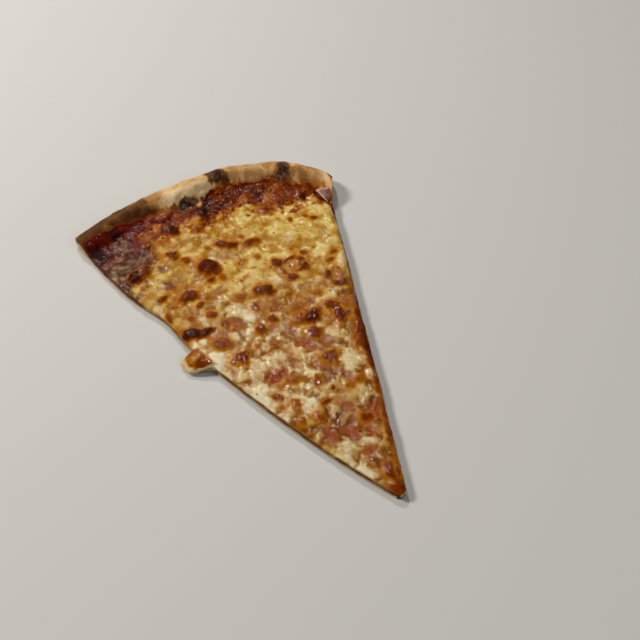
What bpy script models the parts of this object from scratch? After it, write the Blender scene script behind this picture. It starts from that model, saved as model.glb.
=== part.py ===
"""One slice of thin cheese pizza, lying flat: the tip points to -Y, the crust is at +Y, +Z is up.

Four bodies lie on each other: the dough with its raised crust, the layer of sauce, the layer
of melted cheese with the tongue that ran out over the left cut, and a small torn flap by the
right end of the crust.

Lengths are in millimetres, measured from the tip until each mesh is placed. The part's origin
is the middle of its bounding box, at the underside.
"""

from math import pi, radians

import bmesh
import bpy
import numpy as np

MM = 0.001                  # one millimetre, in metres
GAP = 0.3                   # air between neighbouring bodies

# Outline of the slice, from the tip at (0, 0)
CRUST_RADIUS = 240.6        # tip to the outer edge of the crust
HALF_WIDTH = 75.4           # the middle line to the left corner
LEFT_CORNER_Y = 225.5
LEFT_BOW = 8.2              # how far the left cut bows out
LEFT_BOW_POWER = 2.6        # the higher, the flatter the middle of the bow
LEFT_DENT = 3.4             # shallow hollow in that bow
LEFT_DENT_Y = 148.0
LEFT_DENT_SPREAD = 16.0
RIGHT_SLOPE = 0.34          # the right cut's x for each millimetre of y
RIGHT_WAVE = 1.3
RIGHT_WAVE_HALF = 205.0     # half the length of that wave
RIGHT_FLARE = 4.5           # the crust's right end stands out by this much
RIGHT_FLARE_FROM = 188.0
RIGHT_FLARE_TO = 213.0
LEFT_DROP = 3.2             # the corners lie behind the round line by these
LEFT_DROP_POWER = 8
RIGHT_DROP = 21.0
RIGHT_DROP_POWER = 7
CRUST_BULGE = (2.2, 0.59)   # rise over the round line and its share of the way across
CRUST_FLAT = (3.0, 0.9)     # the same for a flat place
CRUST_WAVE_SPREAD = 0.07    # share of the way across that either takes
TIP_WIDTH = 0.8             # half width of the tip
TIP_Y = 1.8                 # the blunt end of the tip

# Dough and crust
DOUGH_THICK = 2.8
CRUST_HEIGHT = 11.2
CRUST_HEIGHT_LEFT = 8.0
CRUST_HEIGHT_RIGHT = 10.0
CREST_WAVE = 0.5
CRUST_EQUATOR = 0.42        # height of the outermost line, as a share of the crest
CRUST_LIP = 0.8             # thickness left between that line and the underside's curl
CRUST_FOOT = 5.0            # width of the curl under the crust's outer edge
CRUST_PEAK = 0.38           # where the crust is highest, as a share of its width
CRUST_SHOULDER = 5.0        # the crust goes on this far under the sauce
BARE_WIDTH = 10.5           # width without sauce at the left corner
BARE_SWELL = 4.8            # wider by this in the middle
BARE_WAVE = 0.6

# Sauce and cheese
SAUCE_THICK = 0.8
SAUCE_EDGE = 0.35           # thickness where it ends on the crust
SAUCE_FADE = 3.0            # distance over which it thins to that
SAUCE_INSET = 0.3
CHEESE_THICK = 2.1
CHEESE_TIP_LESS = 0.5       # thinner by this at the tip
CHEESE_EDGE = 1.1           # thickness at the cuts and at the far edge
CHEESE_EDGE_WIDTH = 4.0     # how far in from a cut the edge's slope reaches
CHEESE_END_WIDTH = 6.0      # the same at the far edge
CHEESE_INSET = 0.4
BARE_CORNER = 24.0          # width of the left corner that has no cheese
BARE_CORNER_FROM = 168.0
BARE_CORNER_TO = 196.0
FLAP_ROOM = 8.5             # the cheese draws back this far from the right cut beside the flap
SAUCE_BAND = 21.0           # open sauce between the bare crust and the cheese
RIGHT_BAND_SHARE = 0.3      # what is left of that band at the right cut
END_DIP = (3.5, 0.68, 0.1)  # hollow in the cheese's far edge: depth, share across, spread

# Tongue of cheese over the left cut
TONGUE_Y = 113.4
TONGUE_LENGTH = 14.0
TONGUE_REACH = 10.3
TONGUE_THICK = 2.4
TONGUE_ROOT = 4.0           # how far it starts inside the cut
TONGUE_SINK = 0.35          # how far its rim lies below its middle
TONGUE_CLEAR = 0.3          # air between its lowest point and the table
TONGUE_RINGS = (0.12, 0.45, 0.75, 0.93, 1.0)
TONGUE_SPOKES = 24

# Torn flap
FLAP_POINT = (60.6, 188.6)
FLAP_BACK_LEFT = (57.6, 198.4)
FLAP_BACK_RIGHT = (66.6, 197.4)
FLAP_HEIGHT = 4.6
FLAP_RIGHT_HEIGHT = 1.4
FLAP_TOE = 1.2
FLAP_SHARPNESS = 0.5

# Bubbles baked into the crust: x, y, half length, half width, height
CRUST_BUBBLES = [
    (-2.0, 229.0, 12.0, 7.0, 1.2),
    (12.5, 233.0, 7.0, 7.0, 1.4),
    (47.5, 222.0, 7.0, 6.0, 1.4),
    (-38.5, 229.5, 9.0, 6.0, 0.6),
    (30.5, 231.5, 9.0, 6.0, 0.6),
]

# Blisters in the cheese: x, y, radius, height
CHEESE_BLISTERS = [
    (-20.0, 172.0, 7.0, 1.5),
    (-34.0, 188.0, 5.0, 1.1),
    (-6.0, 182.0, 6.5, 1.1),
    (7.0, 178.0, 5.5, 0.8),
    (-37.0, 156.0, 6.5, 1.3),
    (-44.0, 166.0, 4.0, 1.0),
    (19.0, 150.0, 10.0, 1.5),
    (-3.0, 142.0, 7.5, 1.0),
    (-43.0, 129.0, 7.0, 1.3),
    (11.0, 113.0, 6.5, 1.5),
    (27.0, 112.0, 7.5, 1.2),
    (-29.0, 105.0, 6.5, 1.0),
    (-14.0, 118.0, 6.0, 0.9),
    (37.0, 135.0, 6.0, 1.0),
    (-14.0, 82.0, 5.5, 0.9),
    (9.0, 85.0, 4.5, 0.8),
    (-12.0, 56.0, 5.5, 0.8),
    (3.0, 49.0, 5.0, 0.9),
    (-17.0, 40.0, 4.5, 0.8),
    (-4.0, 29.0, 6.0, 0.6),
]

ACROSS = 34                 # columns from the left cut to the right cut
ALONG_DOUGH = 14            # rows from the tip to the foot of the crust
ALONG_CHEESE = 56
CRUST_ROWS = [22.5, 20.8, 19.2, 17.6, 16.0, 14.4, 12.8, 11.2, 9.5, 7.5, 5.5, 3.8, 2.3, 1.1, 0.3, 0.0]


def ease(low, high, value):
    """Smooth step from 0 at low to 1 at high."""
    t = np.clip((value - low) / (high - low), 0.0, 1.0)
    return t * t * (3.0 - 2.0 * t)


def mound(x, y, centre_x, centre_y, half_x, half_y):
    """Rounded bump of height 1 with an elliptical foot."""
    reach = ((x - centre_x) / half_x) ** 2 + ((y - centre_y) / half_y) ** 2
    return np.clip(1.0 - reach, 0.0, None) ** 1.5


def left_cut(y):
    """x of the left cut: a straight line to the corner, bowed out, with one shallow hollow."""
    line = TIP_WIDTH + (HALF_WIDTH - TIP_WIDTH) * y / LEFT_CORNER_Y
    bow = LEFT_BOW * (1.0 - np.abs(2.0 * y / LEFT_CORNER_Y - 1.0) ** LEFT_BOW_POWER)
    hollow = LEFT_DENT * np.exp(-((y - LEFT_DENT_Y) / LEFT_DENT_SPREAD) ** 2)
    return -(line + bow - hollow)


def right_cut(y):
    """x of the right cut: a straight line with a slow wave, flaring out at the crust."""
    flare = RIGHT_FLARE * ease(RIGHT_FLARE_FROM, RIGHT_FLARE_TO, y)
    return RIGHT_SLOPE * y + RIGHT_WAVE * np.cos(pi * y / RIGHT_WAVE_HALF) + flare


def crust_line(s):
    """y of the crust's outer edge at the share s of the way from the left corner to the right."""
    x = HALF_WIDTH * (2.0 * s - 1.0)
    round_line = np.sqrt(CRUST_RADIUS ** 2 - x ** 2)
    bulge = CRUST_BULGE[0] * np.exp(-((s - CRUST_BULGE[1]) / CRUST_WAVE_SPREAD) ** 2)
    flat = CRUST_FLAT[0] * np.exp(-((s - CRUST_FLAT[1]) / CRUST_WAVE_SPREAD) ** 2)
    drop = LEFT_DROP * (1.0 - s) ** LEFT_DROP_POWER + RIGHT_DROP * s ** RIGHT_DROP_POWER
    return round_line + bulge - flat - drop


def crust_slant(s):
    """Length along y of one millimetre measured square to the crust's outer edge."""
    step = 0.001
    rise = crust_line(s + step) - crust_line(s - step)
    return np.hypot(1.0, rise / (4.0 * HALF_WIDTH * step))


def bare_width(s):
    """Width of the crust that no sauce covers, square to its outer edge."""
    middle = BARE_SWELL * np.sin(pi * np.clip(1.15 * s, 0.0, 1.0))
    return BARE_WIDTH + middle - ease(0.8, 1.0, s) + BARE_WAVE * np.sin(19.0 * s)


def crust_top(s):
    """Height of the crust's crest: low at the left corner, highest past the middle."""
    left = (CRUST_HEIGHT - CRUST_HEIGHT_LEFT) * (1.0 - ease(0.0, 0.4, s))
    right = (CRUST_HEIGHT - CRUST_HEIGHT_RIGHT) * ease(0.85, 1.0, s)
    return CRUST_HEIGHT - left - right + CREST_WAVE * np.sin(15.0 * s + 1.0)


def place(s, y, left=left_cut, right=right_cut):
    """x at the share s of the way across, at y."""
    return left(y) + (right(y) - left(y)) * s


def dough_surface(s, x, y):
    """Top of the dough: flat, rising at the crust to a rounded rim with bubbles."""
    inward = (crust_line(s) - y) / crust_slant(s)
    u = inward / (bare_width(s) + CRUST_SHOULDER)
    crest = crust_top(s)
    equator = CRUST_EQUATOR * crest
    outer_part = np.clip(1.0 - u / CRUST_PEAK, 0.0, 1.0)
    outer = equator + (crest - equator) * np.sqrt(1.0 - outer_part ** 2)
    fall = 0.5 + 0.5 * np.cos(pi * np.clip((u - CRUST_PEAK) / (1.0 - CRUST_PEAK), 0.0, 1.0))
    inner = DOUGH_THICK + (crest - DOUGH_THICK) * fall
    height = np.where(u < CRUST_PEAK, outer, inner)
    for centre_x, centre_y, half_x, half_y, rise in CRUST_BUBBLES:
        height = height + rise * mound(x, y, centre_x, centre_y, half_x, half_y)
    return height


def dough_underside(s, y):
    """Flat, curling up like a quarter of an ellipse under the crust's outer edge."""
    inward = (crust_line(s) - y) / crust_slant(s)
    lift = CRUST_EQUATOR * crust_top(s) - CRUST_LIP
    curl = np.clip(1.0 - inward / CRUST_FOOT, 0.0, 1.0)
    return lift * (1.0 - np.sqrt(1.0 - curl ** 2))


def cheese_left(y):
    """x of the cheese's left edge: along the cut, then inwards round the bare corner."""
    return left_cut(y) + CHEESE_INSET + BARE_CORNER * ease(BARE_CORNER_FROM, BARE_CORNER_TO, y)


def cheese_right(y):
    """x of the cheese's right edge, drawn back a little below the torn flap."""
    room = 0.3 * ease(165.0, 187.0, y) + 0.7 * ease(184.0, 192.0, y)
    return right_cut(y) - CHEESE_INSET - FLAP_ROOM * room


def cheese_end(s):
    """y of the cheese's far edge: a wavy line short of the crust."""
    depth, place_across, spread = END_DIP
    dip = depth * np.exp(-((s - place_across) / spread) ** 2)
    wave = 1.5 * np.sin(23.0 * s) + 0.9 * np.sin(51.0 * s + 1.0)
    band = SAUCE_BAND * (1.0 - (1.0 - RIGHT_BAND_SHARE) * ease(0.86, 0.96, s))
    clear = (bare_width(s) + band) * np.minimum(crust_slant(s), 1.15)
    return crust_line(s) - clear + wave - dip


def cheese_surface(s, x, y, end):
    """Thickness of the cheese: even, with slow waves and blisters, thin along its edges."""
    waves = 0.22 * np.sin(0.21 * x + 0.9) * np.sin(0.17 * y) + 0.16 * np.sin(0.37 * y + 0.29 * x)
    thick = CHEESE_THICK - CHEESE_TIP_LESS * (1.0 - ease(0.0, 60.0, y)) + waves
    for centre_x, centre_y, radius, rise in CHEESE_BLISTERS:
        thick = thick + rise * mound(x, y, centre_x, centre_y, radius, radius)
    width = cheese_right(y) - cheese_left(y)
    to_cut = np.minimum(s, 1.0 - s) * width
    inside = ease(0.0, CHEESE_EDGE_WIDTH, to_cut) * ease(0.0, CHEESE_END_WIDTH, end - y)
    return CHEESE_EDGE + (thick - CHEESE_EDGE) * inside


def grid_faces(rows, columns):
    """Faces of a closed body: its top grid, its bottom grid and the wall between their borders."""
    top = np.arange(rows * columns).reshape(rows, columns)
    bottom = top + rows * columns

    def quads(a, b, c, d):
        return np.stack([a, b, c, d], axis=-1).reshape(-1, 4).tolist()

    faces = quads(top[:-1, :-1], top[:-1, 1:], top[1:, 1:], top[1:, :-1])
    faces += quads(bottom[:-1, :-1], bottom[1:, :-1], bottom[1:, 1:], bottom[:-1, 1:])
    faces += quads(top[0, :-1], bottom[0, :-1], bottom[0, 1:], top[0, 1:])
    faces += quads(top[-1, 1:], bottom[-1, 1:], bottom[-1, :-1], top[-1, :-1])
    faces += quads(top[1:, 0], bottom[1:, 0], bottom[:-1, 0], top[:-1, 0])
    faces += quads(top[:-1, -1], bottom[:-1, -1], bottom[1:, -1], top[1:, -1])
    return faces


def make_material(name, colour, roughness):
    """Principled material with one colour."""
    material = bpy.data.materials.new(name)
    material.use_nodes = True
    shader = material.node_tree.nodes["Principled BSDF"]
    shader.inputs["Base Color"].default_value = (*colour, 1.0)
    shader.inputs["Roughness"].default_value = roughness
    shader.inputs["Metallic"].default_value = 0.0
    return material


def merge_flat_faces(mesh):
    """Join the faces inside each level area, so that flat areas hold few triangles."""
    shape = bmesh.new()
    shape.from_mesh(mesh)
    shape.normal_update()

    def level(faces):
        return all(abs(face.normal.z) > 0.999999 for face in faces)

    edges = [edge for edge in shape.edges if level(edge.link_faces)]
    verts = [vert for vert in shape.verts if level(vert.link_faces)]
    bmesh.ops.dissolve_limit(shape, angle_limit=radians(0.05), verts=verts, edges=edges)
    shape.to_mesh(mesh)
    shape.free()


def make_layer(name, x, y, bottom, top, centre, material):
    """Closed body between two height grids, placed about the part's origin."""
    rows, columns = x.shape
    plan = [x - centre[0], y - centre[1]]
    points = np.concatenate([
        np.stack([*plan, top], axis=-1).reshape(-1, 3),
        np.stack([*plan, bottom], axis=-1).reshape(-1, 3),
    ])
    mesh = bpy.data.meshes.new(name)
    mesh.from_pydata((points * MM).tolist(), [], grid_faces(rows, columns))
    merge_flat_faces(mesh)
    mesh.materials.append(material)
    mesh.shade_smooth()
    mesh.set_sharp_from_angle(angle=radians(40.0))
    layer = bpy.data.objects.new(name, mesh)
    bpy.context.collection.objects.link(layer)
    return layer


def dough_grid():
    """Shares across and y of the dough's rows: even to the foot of the crust, then closer."""
    s = np.linspace(0.0, 1.0, ACROSS + 1)
    end, slant = crust_line(s), crust_slant(s)
    foot = end - CRUST_ROWS[0] * slant
    rows = [TIP_Y + (foot - TIP_Y) * share for share in np.linspace(0.0, 1.0, ALONG_DOUGH + 1)]
    rows += [end - inward * slant for inward in CRUST_ROWS[1:]]
    y = np.array(rows)
    return np.broadcast_to(s, y.shape), y


def make_dough(centre):
    """Base and crust in one body."""
    s, y = dough_grid()
    x = place(s, y)
    material = make_material("dough", (0.66, 0.46, 0.26), 0.75)
    return make_layer("dough", x, y, dough_underside(s, y), dough_surface(s, x, y), centre, material)


def sauce_left(y):
    """x of the sauce's left edge, just inside the cut."""
    return left_cut(y) + SAUCE_INSET


def sauce_right(y):
    """x of the sauce's right edge, just inside the cut."""
    return right_cut(y) - SAUCE_INSET


def make_sauce(centre):
    """Thin layer over the whole base that runs a little way up the crust and ends thin."""
    s_line = np.linspace(0.0, 1.0, ACROSS + 1)
    end, slant = crust_line(s_line), crust_slant(s_line)
    bare = bare_width(s_line)
    foot = end - (bare + CRUST_SHOULDER + 1.0) * slant
    start = TIP_Y + SAUCE_INSET
    rows = [start + (foot - start) * share for share in np.linspace(0.0, 1.0, ALONG_DOUGH + 1)]
    rows += [end - (bare + (CRUST_SHOULDER + 1.0) * share) * slant for share in (0.75, 0.5, 0.25, 0.0)]
    y = np.array(rows)
    s = np.broadcast_to(s_line, y.shape)
    x = place(s, y, sauce_left, sauce_right)
    bottom = dough_surface(s, x, y) + GAP
    thin = ease(0.0, SAUCE_FADE, (end - y) / slant - bare)
    top = bottom + SAUCE_EDGE + (SAUCE_THICK - SAUCE_EDGE) * thin
    return make_layer("sauce", x, y, bottom, top, centre, make_material("sauce", (0.30, 0.05, 0.02), 0.35))


def make_tongue(centre, underside):
    """Blob that starts inside the cheese and hangs over the left cut almost to the table."""
    turns = np.linspace(0.0, 2.0 * pi, TONGUE_SPOKES, endpoint=False)
    ring, turn = np.meshgrid(TONGUE_RINGS, turns, indexing="ij")
    inner_x = left_cut(TONGUE_Y) + TONGUE_ROOT
    outer_x = left_cut(TONGUE_Y) - TONGUE_REACH
    half_length = (inner_x - outer_x) / 2.0
    x = (inner_x + outer_x) / 2.0 + half_length * ring * np.cos(turn)
    y = TONGUE_Y + TONGUE_LENGTH / 2.0 * ring * np.sin(turn)
    lip = underside + 0.2
    sag = lip * ease(TONGUE_SINK, 0.75 * TONGUE_REACH, left_cut(y) - x)
    bulge = 0.5 * TONGUE_THICK * np.sqrt(1.0 - 0.98 * ring ** 2)
    middle = lip + 0.5 * TONGUE_THICK + 2.0 * TONGUE_SINK - sag
    top, bottom = middle + bulge, np.maximum(middle - bulge, TONGUE_CLEAR)
    bottom = np.where(x > left_cut(y) - 2.0 * GAP, np.maximum(bottom, lip), bottom)

    count = TONGUE_SPOKES
    points = np.concatenate([
        np.stack([x, y, top], axis=-1).reshape(-1, 3),
        np.stack([x, y, bottom], axis=-1).reshape(-1, 3),
    ])
    points = (points - np.array([centre[0], centre[1], 0.0])) * MM
    shape = bmesh.new()
    verts = [shape.verts.new(point) for point in points]
    half = len(TONGUE_RINGS) * count
    for k in range(len(TONGUE_RINGS) - 1):
        for j in range(count):
            a, b = k * count + j, k * count + (j + 1) % count
            c, d = b + count, a + count
            shape.faces.new([verts[i] for i in (a, d, c, b)])
            shape.faces.new([verts[half + i] for i in (a, b, c, d)])
    last = half - count
    for j in range(count):
        a, b = last + j, last + (j + 1) % count
        shape.faces.new([verts[i] for i in (a, half + a, half + b, b)])
    shape.faces.new([verts[j] for j in range(count)])
    shape.faces.new([verts[half + j] for j in reversed(range(count))])
    bmesh.ops.recalc_face_normals(shape, faces=shape.faces)
    mesh = bpy.data.meshes.new("tongue_guide")
    shape.to_mesh(mesh)
    shape.free()
    guide = bpy.data.objects.new("tongue_guide", mesh)
    bpy.context.collection.objects.link(guide)
    guide.hide_render = True
    guide.display_type = "WIRE"
    return guide


def make_cheese(centre):
    """Layer of melted cheese joined with the tongue that hangs over the left cut."""
    s_line = np.linspace(0.0, 1.0, ACROSS + 1)
    end = cheese_end(s_line)
    start = TIP_Y + CHEESE_INSET
    shares = np.linspace(0.0, 1.0, ALONG_CHEESE + 1)[:, None]
    y = start + (end - start) * shares
    s = np.broadcast_to(s_line, y.shape)
    x = place(s, y, cheese_left, cheese_right)
    underside = DOUGH_THICK + SAUCE_THICK + 2.0 * GAP
    bottom = np.full_like(x, underside)
    top = underside + cheese_surface(s, x, y, end)
    cheese = make_layer("cheese", x, y, bottom, top, centre, make_material("cheese", (0.78, 0.60, 0.30), 0.45))
    joint = cheese.modifiers.new("tongue", "BOOLEAN")
    joint.operation = "UNION"
    joint.solver = "EXACT"
    joint.object = make_tongue(centre, underside)
    return cheese


def make_torn_flap(centre):
    """Three-cornered flap of stained cheese: its point lies low, its back edge stands up.

    A wedge of six corners, rounded by subdivision with half-sharp edges, so it stays inside the wedge.
    """
    corners = np.array([FLAP_POINT, FLAP_BACK_RIGHT, FLAP_BACK_LEFT])
    x, y = corners.T
    share = (x - left_cut(y)) / (right_cut(y) - left_cut(y))
    floor = dough_surface(share, x, y) + SAUCE_THICK + 2.0 * GAP
    crest = floor + np.array([FLAP_TOE, FLAP_RIGHT_HEIGHT, FLAP_HEIGHT])
    plan = corners - np.array(centre)
    shape = bmesh.new()
    base = [shape.verts.new((*point, z)) for point, z in zip(plan, floor)]
    top = [shape.verts.new((*point, z)) for point, z in zip(plan, crest)]
    shape.faces.new(top)
    shape.faces.new(base[::-1])
    for a, b in ((0, 1), (1, 2), (2, 0)):
        shape.faces.new((base[a], base[b], top[b], top[a]))
    sharpness = shape.edges.layers.float.new("crease_edge")
    for edge in shape.edges:
        edge[sharpness] = FLAP_SHARPNESS
    bmesh.ops.scale(shape, vec=(MM, MM, MM), verts=shape.verts)
    bmesh.ops.recalc_face_normals(shape, faces=shape.faces)
    mesh = bpy.data.meshes.new("torn_flap")
    shape.to_mesh(mesh)
    shape.free()
    mesh.materials.append(make_material("stained_cheese", (0.50, 0.26, 0.22), 0.5))
    flap = bpy.data.objects.new("torn_flap", mesh)
    bpy.context.collection.objects.link(flap)
    rounding = flap.modifiers.new("soft_edges", "SUBSURF")
    rounding.levels = 2
    rounding.render_levels = 2
    return flap


def main():
    """Clear the scene and make the four bodies about one origin."""
    for old in list(bpy.data.objects):
        bpy.data.objects.remove(old, do_unlink=True)
    s, y = dough_grid()
    x = place(s, y)
    centre = ((x.min() + x.max()) / 2.0, (y.min() + y.max()) / 2.0)
    make_dough(centre)
    make_sauce(centre)
    make_cheese(centre)
    make_torn_flap(centre)


main()
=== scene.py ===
"""Looks of one slice of thin cheese pizza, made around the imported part.

The slice is modelled in millimetres in a flat frame of its own: the tip is at (0, 0), y runs up
the middle to the crust and z is the height above the table. `place_piece` moves every point by
the dough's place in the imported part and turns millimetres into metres.

Four large bodies stand for the four solids: dough, sauce, cheese and torn flap. Each is a net of
points bent by formulas. The baking of the cheese (toast, sauce showing through, ropes of cream,
amber oil) is worked out first on one flat map of the slice, and read from it at the points of the
cheese and of the small pieces. Dough and sauce work theirs out at their own points. Baked bits,
oil beads and herb flecks are scattered on top.
"""

from math import pi, radians
from types import SimpleNamespace

import bpy
import numpy as np
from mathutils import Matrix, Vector


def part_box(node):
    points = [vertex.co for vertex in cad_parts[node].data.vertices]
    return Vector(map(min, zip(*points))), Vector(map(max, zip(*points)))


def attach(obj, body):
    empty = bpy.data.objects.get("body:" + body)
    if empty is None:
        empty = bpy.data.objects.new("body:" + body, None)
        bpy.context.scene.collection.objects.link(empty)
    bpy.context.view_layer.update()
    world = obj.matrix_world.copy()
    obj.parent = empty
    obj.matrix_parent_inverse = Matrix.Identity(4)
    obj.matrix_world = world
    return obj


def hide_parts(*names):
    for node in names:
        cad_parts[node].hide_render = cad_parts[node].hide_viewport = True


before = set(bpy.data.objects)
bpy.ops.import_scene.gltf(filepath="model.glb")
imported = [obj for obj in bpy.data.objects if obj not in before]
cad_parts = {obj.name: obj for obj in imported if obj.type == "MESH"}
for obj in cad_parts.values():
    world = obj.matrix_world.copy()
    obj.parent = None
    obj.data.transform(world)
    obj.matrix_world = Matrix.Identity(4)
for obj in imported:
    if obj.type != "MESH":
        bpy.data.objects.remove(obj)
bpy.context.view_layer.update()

MM = 0.001

# --- Outline and heights of the slice, the same driving sizes as the part --------------------
GAP = 0.3                   # clear space between two layers of the part
CRUST_RADIUS = 240.6
ARC = 155.0                 # length of the crust's outer edge
HALF_WIDTH = 75.4
TIP_HALF = 0.8              # half width of the blunt tip
TIP_Y = 1.8
LEFT_CORNER_Y = 225.5
LEFT_BOW = 8.2              # how far the left cut bows out
LEFT_DENT = 3.4             # depth, place and half length of the hollow in the left cut
LEFT_DENT_Y = 148.0
LEFT_DENT_HALF = 16.0
RIGHT_SLOPE = 0.34
RIGHT_WAVE = 1.3            # swing of the right cut, and the length of half a wave
RIGHT_WAVE_LENGTH = 205.0
RIGHT_FLARE = 4.5           # how far the right cut opens at the crust, between two y
RIGHT_FLARE_SPAN = (188.0, 213.0)
LEFT_DROP = 3.2             # how far the crust's edge falls back at its corners
RIGHT_DROP = 21.0
CRUST_SWELLS = [(0.59, 0.07, 2.2), (0.9, 0.07, -3.0)]   # share of the arc, half length, rise of the edge
DOUGH_THICK = 2.8
CRUST_HEIGHT = 11.2
CRUST_HEIGHT_LEFT = 8.0
CRUST_HEIGHT_RIGHT = 10.0
CRUST_EQUATOR = 0.42        # share of the crust's height at which it reaches furthest out
CRUST_FOOT = 5.0            # width of the curl under the crust's outer edge
CRUST_PEAK = 0.38           # share of the crust's width outside its crest
CRUST_SHOULDER = 5.0        # width of the slope that the sauce covers
SAUCE_THICK = 0.8
CHEESE_THICK = 2.1
BARE_CORNER = 24.0          # how far the cheese stays off the left corner
SAUCE_BAND = 21.0           # width of open sauce before the crust
CHEESE_FLOOR = 4.1          # underside of the cheese, a little inside the sauce
CHEESE_INSET = 0.1          # how far the edges of cheese and sauce stand in from the cuts
SAUCE_INSET = 0.05
SAUCE_SINK = 0.05           # how far the sauce's underside lies inside the dough
TONGUE_Y = 114.2            # place, half width, reach and fall of the lip over the left cut
TONGUE_HALF = 5.8
TONGUE_REACH = 10.3
TONGUE_DROP = 2.7
FLAP_POINT = (60.6, 188.6)
FLAP_BACK_LEFT = (57.6, 198.4)
FLAP_BACK_RIGHT = (66.6, 197.4)
FLAP_LOW = 4.6              # height of the flap's point, and the rise of its back edge over it
FLAP_RISE = 3.4

# Bubbles baked into the crust: x, y, half length, half width, rise
CRUST_BUBBLES = [
    (-2.0, 229.0, 12.0, 7.0, 1.2),
    (12.5, 233.0, 7.0, 7.0, 1.4),
    (47.5, 222.0, 7.0, 6.0, 1.4),
    (-38.5, 229.5, 9.0, 6.0, 0.6),
    (30.5, 231.5, 9.0, 6.0, 0.6),
]

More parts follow.
